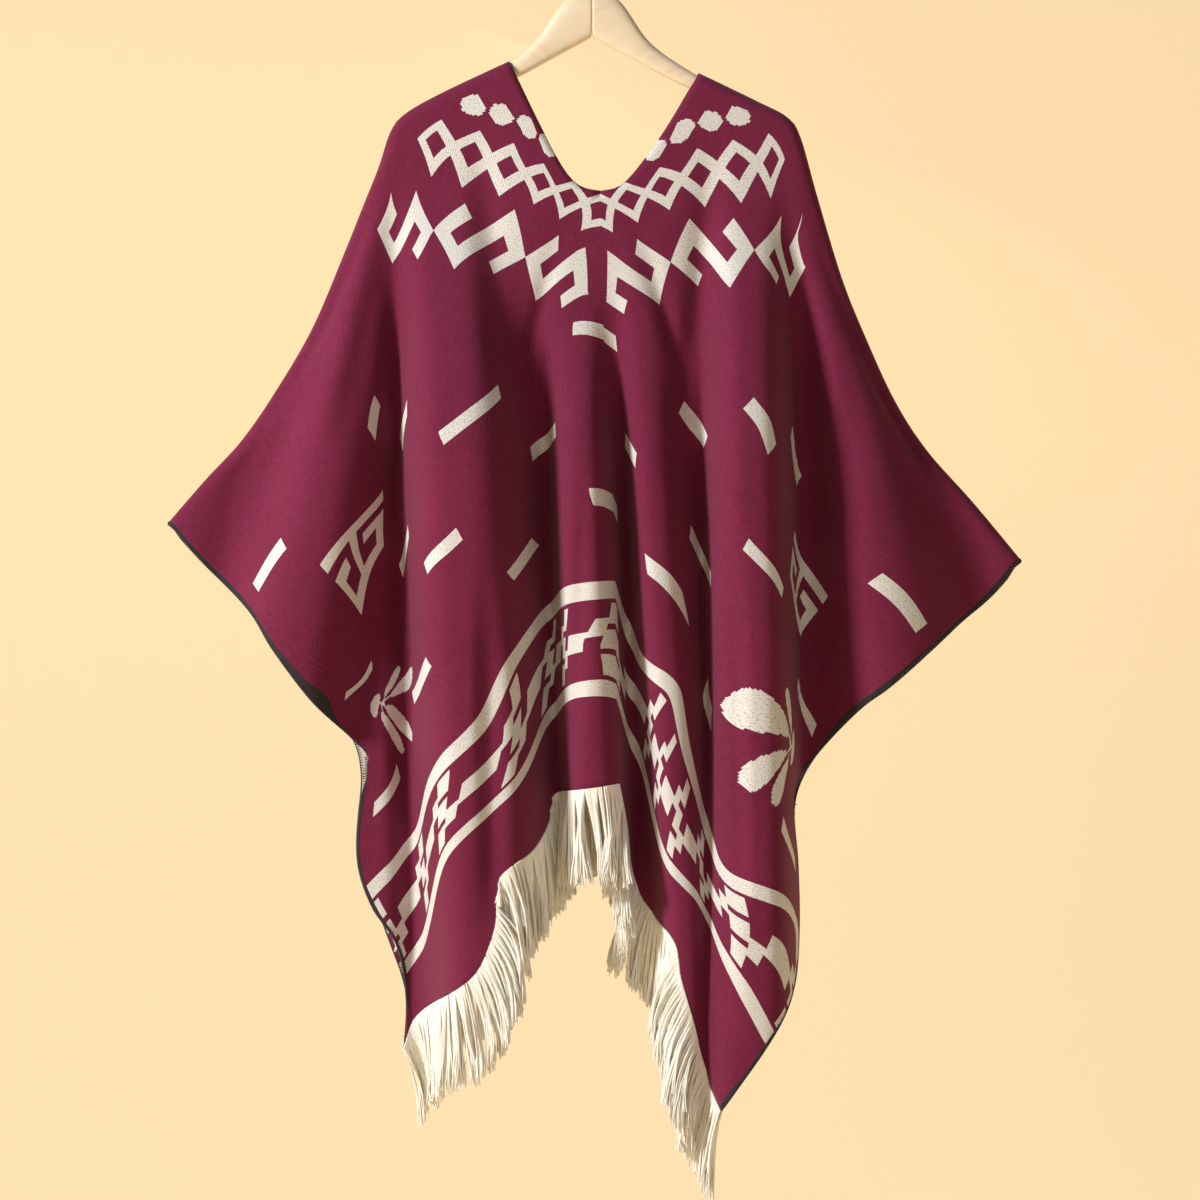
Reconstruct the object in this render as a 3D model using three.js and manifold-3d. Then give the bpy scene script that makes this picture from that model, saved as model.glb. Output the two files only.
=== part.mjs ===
import * as THREE from "three";
import { mergeVertices } from "three/addons/utils/BufferGeometryUtils.js";
import Module from "manifold-3d";

// A fringed poncho cape, one woven rectangle folded over the shoulders, hung on a wooden coat hanger.
// Millimetres, +Z up, the front faces -Y. The origin is the inside crown of the hanger's hook.

// The cut, laid flat: u runs across from the centre line, v runs down from the shoulder fold
const CUT_WIDTH = 1300;
const CUT_LENGTH = 1500;
const HALF_WIDTH = CUT_WIDTH / 2;
const PANEL_DROP = CUT_LENGTH / 2;
const NECK_HALF_WIDTH = 27;
const NECK_DROP = 167;
const CLOTH = 2.4;
const SEAM_GAP = 0.3;

// The fold over the shoulders, and how far the cloth swings out below it
const FOLD_RADIUS = 9.8;
const SWING = 34;
const SWING_REACH = 420;
const LEAST_DEPTH = 3.2;

// The fringe: a narrow heading strip under each hem, and the locks that hang from it
const FRINGE_LENGTH = 88;
const HEADING = 8.5;
const LOCK_ROOT = 4.6;
const LOCK_SHARES = [0, 0.4, 1];
const LOCK_RADII = [2.4, 5.2, 2.6];
const LOCK_SWING = 26;
const LOCK_FALL = 0.6;
const LOCK_ASIDE = [0, 4, 8, 16, 26, 38];
const LOCK_SHORTEST = 0.86;
const LOCK_DRIFT = 3;
const ROOT_STAGGER = 0.6;
const ROUNDED_PLACES = 3;

// The hanger: two round-topped wooden arms mitred at the middle, and a steel wire hook
const HANGER_CENTRE = -3;
const ARM_WIDTH = 16;
const ARM_HEIGHT = 17.5;
const ARM_CLEARANCE = 0.6;
const ARM_LENGTH = 172;
const ARM_SLOPE_GAIN = 1.12;
const ARM_EASE = 0.35;
const ARM_TIP = { reach: 4, drop: 1.5, half: 4, share: 0.5 };
const WOOD_TOP = -52;
const WIRE_RADIUS = 2;
const HOOK_RADIUS = 20;
const HOOK_STEM = 7;
const HOOK_FROM = -68;
const HOOK_TO = 196;
const HOOK_BENDS = 12;
const HOOK_STEPS = 26;

// Outlines seen from the front, as x and z: each is a smooth curve through its few points
const RIDGE = {
  left: [[-87, -125], [-155, -157], [-192, -178], [-207, -196], [-219, -232], [-235, -272], [-255, -322],
    [-287, -397], [-325, -462], [-359, -511], [-395, -550], [-434, -595]],
  right: [[105, -137], [165, -166], [195, -182], [208, -202], [225, -262], [250, -345], [274, -405],
    [304, -470], [337, -521], [384, -574], [433, -633]],
};
const NECK_EDGE = {
  left: [[-87, -125], [-55, -192], [-32, -235], [-15, -253], [5, -258]],
  right: [[105, -137], [73, -192], [45, -232], [25, -253], [5, -258]],
};
const FRONT_SIDE = {
  left: [[-434, -595], [-393, -640], [-346, -686], [-322, -722], [-284, -772], [-244, -813], [-228, -835],
    [-238, -880], [-240, -935], [-226, -980], [-200, -1021], [-191, -1075], [-193, -1125]],
  right: [[433, -633], [401, -670], [364, -700], [298, -757], [265, -783], [220, -835], [199, -870],
    [204, -940], [205, -1005], [198, -1060], [172, -1110], [124, -1178]],
};
const FRONT_HEM = {
  left: [[-193, -1125], [-182, -1099], [-158, -1076], [-118, -1044], [-102, -1014], [-95, -988],
    [-94, -953], [-83, -938], [-63, -923], [-50, -904], [-43, -885], [-38, -868], [22, -857]],
  right: [[124, -1178], [105, -1132], [96, -1094], [84, -1048], [79, -1014], [62, -993], [43, -968],
    [34, -940], [30, -900], [22, -857]],
};
const FRONT_MIDDLE = [[5, -258], [8, -400], [17, -570], [20, -735], [22, -857]];
const BACK_SIDE = {
  left: [[-434, -595], [-391, -642], [-344, -689], [-320, -726], [-282, -776], [-250, -812], [-240, -850],
    [-243, -905], [-236, -960], [-214, -1012], [-196, -1062], [-186, -1112]],
  right: [[433, -633], [399, -672], [362, -702], [296, -760], [262, -787], [222, -836], [204, -880],
    [206, -945], [200, -1010], [178, -1075], [165, -1120], [147, -1166]],
};
const BACK_HEM = {
  left: [[-186, -1112], [-170, -1080], [-146, -1052], [-112, -1028], [-94, -988], [-84, -945],
    [-60, -915], [-34, -880], [0, -858]],
  right: [[147, -1166], [122, -1120], [108, -1070], [92, -1020], [70, -985], [52, -950], [36, -905],
    [22, -870], [0, -858]],
};
const BACK_MIDDLE = [[5, -258], [2, -560], [0, -858]];

// Folds, one row each. The crest runs through (topX, topZ) and (lowX, lowZ), and the fold is fully grown at
// lowZ. left and right are how far from the crest it dies out there, depth is how far it stands out (a
// trough is negative), and a steepness above 1 gives it a broad crest with a steep side.
const FRONT_FOLDS = [
  { name: "left wing roll", topX: -232, topZ: -236, lowX: -290, lowZ: -620, left: 96, right: 82, depth: 44,
    leftSteep: 1, rightSteep: 1.6 },
  { name: "left wing hollow", topX: -262, topZ: -330, lowX: -352, lowZ: -620, left: 66, right: 50, depth: -12,
    leftSteep: 1, rightSteep: 1 },
  { name: "left recess", topX: -205, topZ: -225, lowX: -197, lowZ: -560, left: 24, right: 24, depth: -16,
    leftSteep: 1, rightSteep: 1 },
  { name: "left flute", topX: -156, topZ: -228, lowX: -136, lowZ: -560, left: 66, right: 88, depth: 74,
    leftSteep: 2.1, rightSteep: 1.7 },
  { name: "valley left of the pleat", topX: -48, topZ: -300, lowX: -47, lowZ: -560, left: 22, right: 14,
    depth: -6, leftSteep: 1, rightSteep: 1 },
  { name: "centre pleat", topX: -22, topZ: -330, lowX: -11, lowZ: -600, left: 38, right: 38, depth: 50,
    leftSteep: 1.8, rightSteep: 2 },
  { name: "valley right of the pleat", topX: 20, topZ: -300, lowX: 30, lowZ: -620, left: 16, right: 18,
    depth: -8, leftSteep: 1, rightSteep: 1 },
  { name: "right inner flute", topX: 40, topZ: -300, lowX: 64, lowZ: -640, left: 32, right: 48, depth: 42,
    leftSteep: 1.6, rightSteep: 1.3 },
  { name: "valley by the right flute", topX: 112, topZ: -300, lowX: 112, lowZ: -600, left: 16, right: 14,
    depth: -6, leftSteep: 1, rightSteep: 1 },
  { name: "right flute", topX: 152, topZ: -222, lowX: 155, lowZ: -560, left: 50, right: 52, depth: 68,
    leftSteep: 1.9, rightSteep: 2.1 },
  { name: "right recess", topX: 205, topZ: -225, lowX: 210, lowZ: -560, left: 22, right: 44, depth: -15,
    leftSteep: 1, rightSteep: 1 },
  { name: "right wing roll", topX: 246, topZ: -262, lowX: 288, lowZ: -640, left: 70, right: 112, depth: 38,
    leftSteep: 1.2, rightSteep: 1 },
  { name: "right wing hollow", topX: 284, topZ: -380, lowX: 372, lowZ: -660, left: 50, right: 56, depth: -9,
    leftSteep: 1, rightSteep: 1 },
];
const BACK_FOLDS = [
  { name: "left wing roll", topX: -236, topZ: -250, lowX: -300, lowZ: -640, left: 96, right: 84, depth: 40,
    leftSteep: 1, rightSteep: 1.5 },
  { name: "left recess", topX: -207, topZ: -225, lowX: -204, lowZ: -560, left: 26, right: 24, depth: -15,
    leftSteep: 1, rightSteep: 1 },
  { name: "left flute", topX: -168, topZ: -226, lowX: -152, lowZ: -580, left: 50, right: 70, depth: 78,
    leftSteep: 2.2, rightSteep: 1.5 },
  { name: "left inner flute", topX: -66, topZ: -270, lowX: -60, lowZ: -600, left: 38, right: 44, depth: 52,
    leftSteep: 1.6, rightSteep: 1.4 },
  { name: "centre flute", topX: 22, topZ: -270, lowX: 24, lowZ: -600, left: 46, right: 42, depth: 60,
    leftSteep: 1.7, rightSteep: 2 },
  { name: "right flute", topX: 134, topZ: -222, lowX: 142, lowZ: -580, left: 70, right: 58, depth: 76,
    leftSteep: 1.6, rightSteep: 2.2 },
  { name: "right recess", topX: 205, topZ: -225, lowX: 212, lowZ: -560, left: 24, right: 42, depth: -15,
    leftSteep: 1, rightSteep: 1 },
  { name: "right wing roll", topX: 246, topZ: -270, lowX: 292, lowZ: -650, left: 70, right: 108, depth: 36,
    leftSteep: 1.2, rightSteep: 1 },
];
const NARROW_AT_TOP = 0.75;

// How finely each panel is divided: columns in each half, and the rows below the shoulder fold
const ARC_ROWS = 3;
const ARC_DROP = (FOLD_RADIUS * Math.PI) / 2;
const FRONT_GRID = { columns: 27, neckRows: 5, bodyRows: 18 };
const BACK_GRID = { columns: 23, neckRows: 4, bodyRows: 13 };
const SETTLE_STEPS = 700;
const SPREAD_PASSES = 24;
const SOFTEN_PASSES = 3;
const SHEAR_STIFFNESS = 0.12;
const SETTLE_RATE = 0.6;
const SLOPE_STEP = 0.5;
const OUTLINE_SAMPLES = 700;

// A smooth plane curve through a table's points.
function outline(points) {
  return new THREE.SplineCurve(points.map(([x, z]) => new THREE.Vector2(x, z)));
}

// Distance from (x, z) to the line of the shoulders, neck included.
const SHOULDER_STEPS = 18;
const shoulderLine = [
  ...outline(RIDGE.left).getPoints(SHOULDER_STEPS).reverse(),
  ...outline(RIDGE.right).getPoints(SHOULDER_STEPS),
];
function belowShoulder(x, z) {
  let least = Infinity;
  for (let i = 1; i < shoulderLine.length; i++) {
    const a = shoulderLine[i - 1];
    const b = shoulderLine[i];
    const dx = b.x - a.x;
    const dz = b.y - a.y;
    const along = ((x - a.x) * dx + (z - a.y) * dz) / (dx * dx + dz * dz);
    const t = Math.min(1, Math.max(0, along));
    least = Math.min(least, Math.hypot(x - a.x - t * dx, z - a.y - t * dz));
  }
  return least;
}

// One fold's share of the depth at (x, z).
function foldDepth(fold, x, z) {
  const fall = (fold.topZ - z) / (fold.topZ - fold.lowZ);
  if (fall <= 0) return 0;
  const grown = Math.min(1, fall);
  const fromCrest = x - fold.topX - (fold.lowX - fold.topX) * fall;
  const spread = NARROW_AT_TOP + (1 - NARROW_AT_TOP) * grown;
  const [reach, steep] = fromCrest < 0 ? [fold.left, fold.leftSteep] : [fold.right, fold.rightSteep];
  const away = Math.abs(fromCrest) / (reach * spread);
  if (away >= 1) return 0;
  const shape = Math.cos((Math.PI / 2) * away ** steep) ** 2;
  return fold.depth * grown * grown * (3 - 2 * grown) * shape;
}

// How far the cloth stands out from the plane of the hanger at (x, z).
function clothDepth(folds, x, z) {
  const past = Math.max(0, belowShoulder(x, z) - FOLD_RADIUS);
  const swing = SWING * (1 - Math.exp(-past / SWING_REACH));
  const folded = folds.reduce((sum, fold) => sum + foldDepth(fold, x, z), 0);
  return Math.max(LEAST_DEPTH, FOLD_RADIUS + swing + folded);
}

// Points along an outline at given shares of its true length on the cloth.
function placeAlong(points, depthAt, shares) {
  const curve = outline(points);
  const samples = curve.getPoints(OUTLINE_SAMPLES);
  const lengths = [0];
  samples.forEach((p, i) => {
    if (i === 0) return;
    const q = samples[i - 1];
    const step = Math.hypot(p.x - q.x, p.y - q.y, depthAt(p.x, p.y) - depthAt(q.x, q.y));
    lengths.push(lengths[i - 1] + step);
  });
  const total = lengths[lengths.length - 1];
  return shares.map((share) => {
    const wanted = share * total;
    let i = 1;
    while (i < lengths.length - 1 && lengths[i] < wanted) i++;
    const t = (wanted - lengths[i - 1]) / (lengths[i] - lengths[i - 1] || 1);
    return samples[i - 1].clone().lerp(samples[i], Math.min(1, Math.max(0, t)));
  });
}

// The flat places of a half panel's rows: the arc over the fold, the neck slit, then the body.
function rowDrops(grid) {
  const arc = Array.from({ length: ARC_ROWS }, (_, i) => (ARC_DROP * i) / ARC_ROWS);
  const neck = Array.from(
    { length: grid.neckRows },
    (_, i) => ARC_DROP + ((NECK_DROP - ARC_DROP) * i) / grid.neckRows,
  );
  const body = Array.from(
    { length: grid.bodyRows + 1 },
    (_, i) => NECK_DROP + ((PANEL_DROP - NECK_DROP) * i) / grid.bodyRows,
  );
  return [...arc, ...neck, ...body];
}

// Half the width of the neck slit at a drop v.
function slitHalf(v) {
  return NECK_HALF_WIDTH * Math.max(0, 1 - v / NECK_DROP);
}

// A half panel: an array of rows from the shoulder to the hem, each from the side edge to the middle,
// of nodes that hold the flat place (u, v) and the hung place (x, z).
function hangHalf(side, panel) {
  const { folds, grid, sideEdge, hem, middle } = panel;
  const depthAt = (x, z) => clothDepth(folds, x, z);
  const drops = rowDrops(grid);
  const count = grid.columns;
  const share = (c) => c / count;
  const rows = drops.map((v) =>
    Array.from({ length: count + 1 }, (_, c) => ({
      u: HALF_WIDTH - share(c) * (HALF_WIDTH - slitHalf(v)),
      v,
      x: 0,
      z: 0,
      pinned: false,
    })),
  );
  const top = ARC_ROWS;
  const last = rows.length - 1;
  const pin = (node, place) => Object.assign(node, { x: place.x, z: place.y, pinned: true });

  // The fold over the shoulder is a quarter round about the ridge
  const ridge = outline([...RIDGE[side]].reverse());
  for (let c = 0; c <= count; c++) {
    const at = ridge.getPointAt(share(c));
    const along = ridge.getTangentAt(share(c));
    const down = new THREE.Vector2(along.y, -along.x);
    if (down.y > 0) down.negate();
    for (let r = 0; r <= top; r++) {
      const turn = rows[r][c].v / FOLD_RADIUS;
      const node = rows[r][c];
      pin(node, at.clone().addScaledVector(down, FOLD_RADIUS * (1 - Math.cos(turn))));
      node.arc = FOLD_RADIUS * Math.sin(turn);
    }
  }

  // The free edges keep their share of the outline
  const below = drops.slice(top + 1);
  const edgePlaces = placeAlong(sideEdge[side], depthAt, below.map((v) => v / PANEL_DROP));
  edgePlaces.forEach((place, i) => pin(rows[top + 1 + i][0], place));
  const hemPlaces = placeAlong(hem[side], depthAt, rows[last].map((_, c) => share(c)));
  hemPlaces.forEach((place, c) => pin(rows[last][c], place));
  const slit = below.filter((v) => v <= NECK_DROP + 0.001);
  const slitPlaces = placeAlong(NECK_EDGE[side], depthAt, slit.map((v) => v / NECK_DROP));
  slitPlaces.forEach((place, i) => pin(rows[top + 1 + i][count], place));
  const slitEnd = top + slit.length;
  const bodyShares = drops.slice(slitEnd + 1, last).map((v) => (v - NECK_DROP) / (PANEL_DROP - NECK_DROP));
  const middlePlaces = placeAlong(middle, depthAt, bodyShares);
  middlePlaces.forEach((place, i) => pin(rows[slitEnd + 1 + i][count], place));

  // A first guess between the four edges
  for (let r = top + 1; r < last; r++) {
    const t = (r - top) / (last - top);
    for (let c = 1; c < count; c++) {
      const s = share(c);
      const mix = (key) =>
        (1 - t) * rows[top][c][key] + t * rows[last][c][key] +
        (1 - s) * rows[r][0][key] + s * rows[r][count][key] -
        (1 - t) * (1 - s) * rows[top][0][key] - (1 - t) * s * rows[top][count][key] -
        t * (1 - s) * rows[last][0][key] - t * s * rows[last][count][key];
      rows[r][c].x = mix("x");
      rows[r][c].z = mix("z");
    }
  }
  settle(rows, top, last, count, depthAt);
  for (let pass = 0; pass < SPREAD_PASSES; pass++) blend(rows, top, last, count, ["x", "z"]);
  rows.slice(top).flat().forEach((node) => {
    node.depth = depthAt(node.x, node.z);
  });
  for (let pass = 0; pass < SOFTEN_PASSES; pass++) blend(rows, top, last, count, ["depth"]);
  return rows;
}

// Moves the free nodes over the draped surface until warp and weft keep their length as well as they can.
function settle(rows, top, last, count, depthAt) {
  const around = [[0, 1, 1], [0, -1, 1], [1, 0, 1], [-1, 0, 1], [1, 1, 0], [1, -1, 0], [-1, 1, 0], [-1, -1, 0]];
  for (let pass = 0; pass < SETTLE_STEPS; pass++) {
    for (let r = top; r <= last; r++)
      for (let c = 0; c <= count; c++) rows[r][c].depth = depthAt(rows[r][c].x, rows[r][c].z);
    const moves = [];
    for (let r = top + 1; r < last; r++)
      for (let c = 1; c < count; c++) {
        const node = rows[r][c];
        let px = 0;
        let py = 0;
        let pz = 0;
        let weight = 0;
        for (const [dr, dc, straight] of around) {
          const other = rows[r + dr][c + dc];
          const rest = Math.hypot(other.u - node.u, other.v - node.v);
          const dx = other.x - node.x;
          const dy = other.depth - node.depth;
          const dz = other.z - node.z;
          const now = Math.hypot(dx, dy, dz) || 1e-6;
          const pull = straight ? 1 : SHEAR_STIFFNESS;
          const gain = (pull * (now - rest)) / now;
          px += gain * dx;
          py += gain * dy;
          pz += gain * dz;
          weight += pull;
        }
        const slopeX = (depthAt(node.x + SLOPE_STEP, node.z) - node.depth) / SLOPE_STEP;
        const slopeZ = (depthAt(node.x, node.z + SLOPE_STEP) - node.depth) / SLOPE_STEP;
        const a = 1 + slopeX * slopeX;
        const b = slopeX * slopeZ;
        const d = 1 + slopeZ * slopeZ;
        const gx = (px + slopeX * py) / weight;
        const gz = (pz + slopeZ * py) / weight;
        const det = a * d - b * b;
        moves.push([node, (SETTLE_RATE * (d * gx - b * gz)) / det, (SETTLE_RATE * (a * gz - b * gx)) / det]);
      }
    for (const [node, mx, mz] of moves) {
      node.x += mx;
      node.z += mz;
    }
  }
}

// Moves each free node's values half way to the mean of its neighbours.
function blend(rows, top, last, count, keys) {
  const even = [];
  for (let r = top + 1; r < last; r++)
    for (let c = 1; c < count; c++) {
      const near = [rows[r - 1][c], rows[r + 1][c], rows[r][c - 1], rows[r][c + 1]];
      for (const key of keys) {
        const mean = near.reduce((sum, node) => sum + node[key], 0) / near.length;
        even.push([rows[r][c], key, (rows[r][c][key] + mean) / 2]);
      }
    }
  for (const [node, key, value] of even) node[key] = value;
}

// The middle surface of a panel: vertices by row and column, with the neck slit left open.
function hangPanel(panel) {
  const left = hangHalf("left", panel);
  const right = hangHalf("right", panel);
  const count = panel.grid.columns;
  const vertices = [];
  const ids = [];
  left.forEach((row, r) => {
    const line = [];
    const put = (node) => {
      const depth = node.arc ?? node.depth;
      vertices.push(new THREE.Vector3(node.x, panel.facing * Math.max(depth, SEAM_GAP / 2), node.z));
      line.push(vertices.length - 1);
    };
    row.forEach(put);
    const joined = row[0].v >= NECK_DROP - 0.001;
    if (joined) line.push(line[count]);
    const mirrored = [...right[r]].reverse();
    (joined ? mirrored.slice(1) : mirrored).forEach(put);
    ids.push(line);
  });
  return { vertices, ids, columns: 2 * count + 1, middle: count };
}

// Triangles of a row and column net, facing out of the panel.
function netTriangles(ids, columns, skip, facing) {
  const triangles = [];
  for (let r = 1; r < ids.length; r++)
    for (let c = 0; c < columns; c++) {
      if (c === skip) continue;
      const corners = [ids[r - 1][c], ids[r][c], ids[r][c + 1], ids[r - 1][c + 1]];
      if (facing > 0) corners.reverse();
      triangles.push([corners[0], corners[1], corners[2]], [corners[0], corners[2], corners[3]]);
    }
  return triangles;
}

// Unit normals at the vertices of a net.
function netNormals(vertices, triangles) {
  const net = new THREE.BufferGeometry().setFromPoints(vertices);
  net.setIndex(triangles.flat());
  net.computeVertexNormals();
  const normal = net.getAttribute("normal");
  return vertices.map((_, i) => new THREE.Vector3().fromBufferAttribute(normal, i));
}

// A closed wall of the cloth's thickness about a net. Its edge faces are split on the same corners as those
// of the wall that lies along it, so that the gap between the two stays even where both twist.
function wallAbout(vertices, normals, triangles, thickness = CLOTH) {
  const half = thickness / 2;
  const outer = vertices.map((p, i) => p.clone().addScaledVector(normals[i], half));
  const inner = vertices.map((p, i) => p.clone().addScaledVector(normals[i], -half));
  const count = vertices.length;
  const faces = triangles.map((t) => [...t]);
  triangles.forEach(([a, b, c]) => faces.push([a + count, c + count, b + count]));
  const edges = new Set();
  triangles.forEach(([a, b, c]) => [[a, b], [b, c], [c, a]].forEach(([p, q]) => edges.add(`${p},${q}`)));
  for (const key of edges) {
    const [p, q] = key.split(",").map(Number);
    if (edges.has(`${q},${p}`)) continue;
    if (p < q) faces.push([q, p, p + count], [q, p + count, q + count]);
    else faces.push([q, p, q + count], [p, p + count, q + count]);
  }
  const geometry = new THREE.BufferGeometry().setFromPoints([...outer, ...inner]);
  geometry.setIndex(faces.flat());
  return geometry;
}

// A panel's wall, with its shoulder edge cut square on the plane of the hanger.
function panelWall(net, facing) {
  const triangles = netTriangles(net.ids, net.columns, net.middle, facing);
  const normals = netNormals(net.vertices, triangles);
  net.ids[0].forEach((id) => {
    normals[id].y = 0;
    normals[id].normalize();
  });
  return wallAbout(net.vertices, normals, triangles);
}

// The heading strip lies past the hem, square to it in the cloth's own surface.
function headingNet(net, facing) {
  const normals = netNormals(net.vertices, netTriangles(net.ids, net.columns, net.middle, facing));
  const line = net.ids.at(-1).filter((id, c) => c !== net.middle + 1);
  const above = net.ids.at(-2).filter((id, c) => c !== net.middle + 1);
  const heading = { vertices: [], normals: [], ids: [[], []], columns: line.length - 1 };
  line.forEach((id, c) => {
    const at = net.vertices[id];
    const along = net.vertices[line[Math.min(c + 1, line.length - 1)]].clone()
      .sub(net.vertices[line[Math.max(c - 1, 0)]]);
    const on = along.cross(normals[id]).normalize();
    if (on.dot(at.clone().sub(net.vertices[above[c]])) < 0) on.negate();
    [SEAM_GAP, HEADING].forEach((reach, row) => {
      heading.vertices.push(at.clone().addScaledVector(on, reach));
      heading.normals.push(normals[id]);
      heading.ids[row].push(heading.vertices.length - 1);
    });
  });
  return heading;
}

const wasm = await Module();
wasm.setup();

// A three.js geometry as a solid that can be joined, and back.
function solidOf(geometry) {
  const bare = new THREE.BufferGeometry();
  bare.setAttribute("position", geometry.getAttribute("position"));
  bare.setIndex(geometry.getIndex());
  const merged = mergeVertices(bare, 1e-3);
  const mesh = new wasm.Mesh({
    numProp: 3,
    vertProperties: merged.getAttribute("position").array,
    triVerts: new Uint32Array(merged.getIndex().array),
  });
  return new wasm.Manifold(mesh);
}
function geometryOf(solid) {
  const mesh = solid.getMesh();
  const geometry = new THREE.BufferGeometry();
  geometry.setAttribute("position", new THREE.BufferAttribute(mesh.vertProperties, 3));
  geometry.setIndex(new THREE.BufferAttribute(mesh.triVerts, 1));
  return geometry;
}

// An even wobble from -1 to 1 that is the same every time.
function wobble(n) {
  const s = Math.sin(n * 12.9898) * 43758.5453;
  return 2 * (s - Math.floor(s)) - 1;
}

// The outer skin of a joined solid, with any sealed hollow between its locks filled.
function oneShell(solid) {
  const shells = solid.decompose().filter((shell) => shell.volume() > 0);
  return shells.reduce((x, y) => (y.volume() > x.volume() ? y : x));
}

// Whether each edge of a solid still joins just two faces once its corners are rounded off.
function closesCleanly(solid) {
  const mesh = solid.getMesh();
  const names = new Map();
  const corner = Array.from({ length: mesh.numVert }, (_, i) => {
    const at = mesh.vertProperties.subarray(i * mesh.numProp, i * mesh.numProp + 3);
    const key = Array.from(at, (value) => value.toFixed(ROUNDED_PLACES)).join();
    if (!names.has(key)) names.set(key, names.size);
    return names.get(key);
  });
  const uses = new Map();
  for (let t = 0; t < mesh.triVerts.length; t += 3) {
    const [a, b, c] = [0, 1, 2].map((i) => corner[mesh.triVerts[t + i]]);
    if (a === b || b === c || c === a) continue;
    for (const [p, q] of [[a, b], [b, c], [c, a]]) {
      const key = Math.min(p, q) * names.size + Math.max(p, q);
      uses.set(key, (uses.get(key) ?? 0) + 1);
    }
  }
  return [...uses.values()].every((count) => count === 2);
}

// One lock of fringe: three-sided rings from its root in the heading to its tip, which hangs to one side.
function lockOfFringe(root, lean, index, aside) {
  const down = new THREE.Vector3(0, 0, -1);
  const fullness = LOCK_SHORTEST + (1 - LOCK_SHORTEST) * (0.5 + 0.5 * wobble(index + 0.3));
  const length = (FRINGE_LENGTH - LOCK_ROOT) * fullness;
  const drift = new THREE.Vector3(aside + LOCK_DRIFT * wobble(index), LOCK_DRIFT * wobble(index + 50), 0);
  const turn = wobble(index + 20) * Math.PI;
  const vertices = [];
  LOCK_SHARES.forEach((share, k) => {
    const bent = 1 - (1 - share) ** 2;
    const centre = root.clone()
      .addScaledVector(lean, LOCK_SWING * bent)
      .addScaledVector(down, length * share - LOCK_SWING * LOCK_FALL * bent)
      .addScaledVector(drift, share);
    for (let i = 0; i < 3; i++) {
      const angle = turn + (i * 2 * Math.PI) / 3;
      const out = new THREE.Vector3(Math.cos(angle), Math.sin(angle), 0);
      vertices.push(centre.clone().addScaledVector(out, LOCK_RADII[k]));
    }
  });
  const faces = [[0, 1, 2]];
  for (let k = 1; k < LOCK_SHARES.length; k++)
    for (let i = 0; i < 3; i++) {
      const a = 3 * k - 3 + i;
      const b = 3 * k - 3 + ((i + 1) % 3);
      faces.push([b, a, a + 3], [b, a + 3, b + 3]);
    }
  const end = 3 * (LOCK_SHARES.length - 1);
  faces.push([end + 2, end + 1, end]);
  const geometry = new THREE.BufferGeometry().setFromPoints(vertices);
  geometry.setIndex(faces.flat());
  return solidOf(geometry);
}

// The space that a panel needs: a little wider than its wall, and down to just short of the heading.
function panelSpace(net, facing) {
  const last = net.ids.at(-1);
  const before = net.ids.at(-2);
  const vertices = net.vertices.map((p) => p.clone());
  new Set(last).forEach((id) => {
    const above = net.vertices[before[last.indexOf(id)]];
    const on = net.vertices[id].clone().sub(above).normalize();
    vertices[id].addScaledVector(on, -SEAM_GAP);
  });
  const triangles = netTriangles(net.ids, net.columns, net.middle, facing);
  return solidOf(wallAbout(vertices, netNormals(vertices, triangles), triangles, CLOTH + 2 * SEAM_GAP));
}

// The fringe of one hem, its locks fused to the heading strip. On a steep stretch a lock hangs further
// aside, clear of the cloth below it.
function fringe(net, facing, locks) {
  const heading = headingNet(net, facing);
  const triangles = netTriangles(heading.ids, heading.columns, -1, facing);
  const space = panelSpace(net, facing);
  let solid = solidOf(wallAbout(heading.vertices, heading.normals, triangles));
  for (let k = 0; k < locks; k++) {
    const place = ((k + 0.5) / locks) * heading.columns;
    const c = Math.floor(place);
    const at = (row) => {
      const [from, to] = [heading.ids[row][c], heading.ids[row][c + 1]];
      return heading.vertices[from].clone().lerp(heading.vertices[to], place - c);
    };
    const lean = at(1).sub(at(0)).normalize();
    const root = at(0).addScaledVector(lean, LOCK_ROOT + ROOT_STAGGER * wobble(k + 9));
    const inward = place < heading.columns / 2 ? 1 : -1;
    const joined = LOCK_ASIDE.map((aside, i) => lockOfFringe(root, lean, k + i * locks, inward * aside))
      .filter((lock) => lock.intersect(space).volume() === 0)
      .map((lock) => oneShell(solid.add(lock)))
      .find(closesCleanly);
    if (joined) solid = joined;
  }
  return geometryOf(solid);
}

// Stations of the bare middle of an arm: distance from the hanger's centre, wood top and wood bottom.
const ARM_NECK = [
  { out: 0.15, top: WOOD_TOP, bottom: -100 },
  { out: 14, top: WOOD_TOP, bottom: -107.6 },
  { out: 25, top: -58, bottom: -113.6 },
  { out: 37, top: -72, bottom: -120 },
  { out: 50, top: -95, bottom: -127 },
  { out: 66, top: -113, bottom: -136 },
];
const ARM_STEP = 14;
const ARM_TOP_SIDES = 8;

// Height of the shoulder fold above a place under it.
function ridgeHeight(side, x) {
  const points = outline(RIDGE[side]).getPoints(OUTLINE_SAMPLES);
  const after = points.findIndex((p) => Math.abs(p.x) >= Math.abs(x));
  return points[Math.max(0, after)].y;
}

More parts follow.
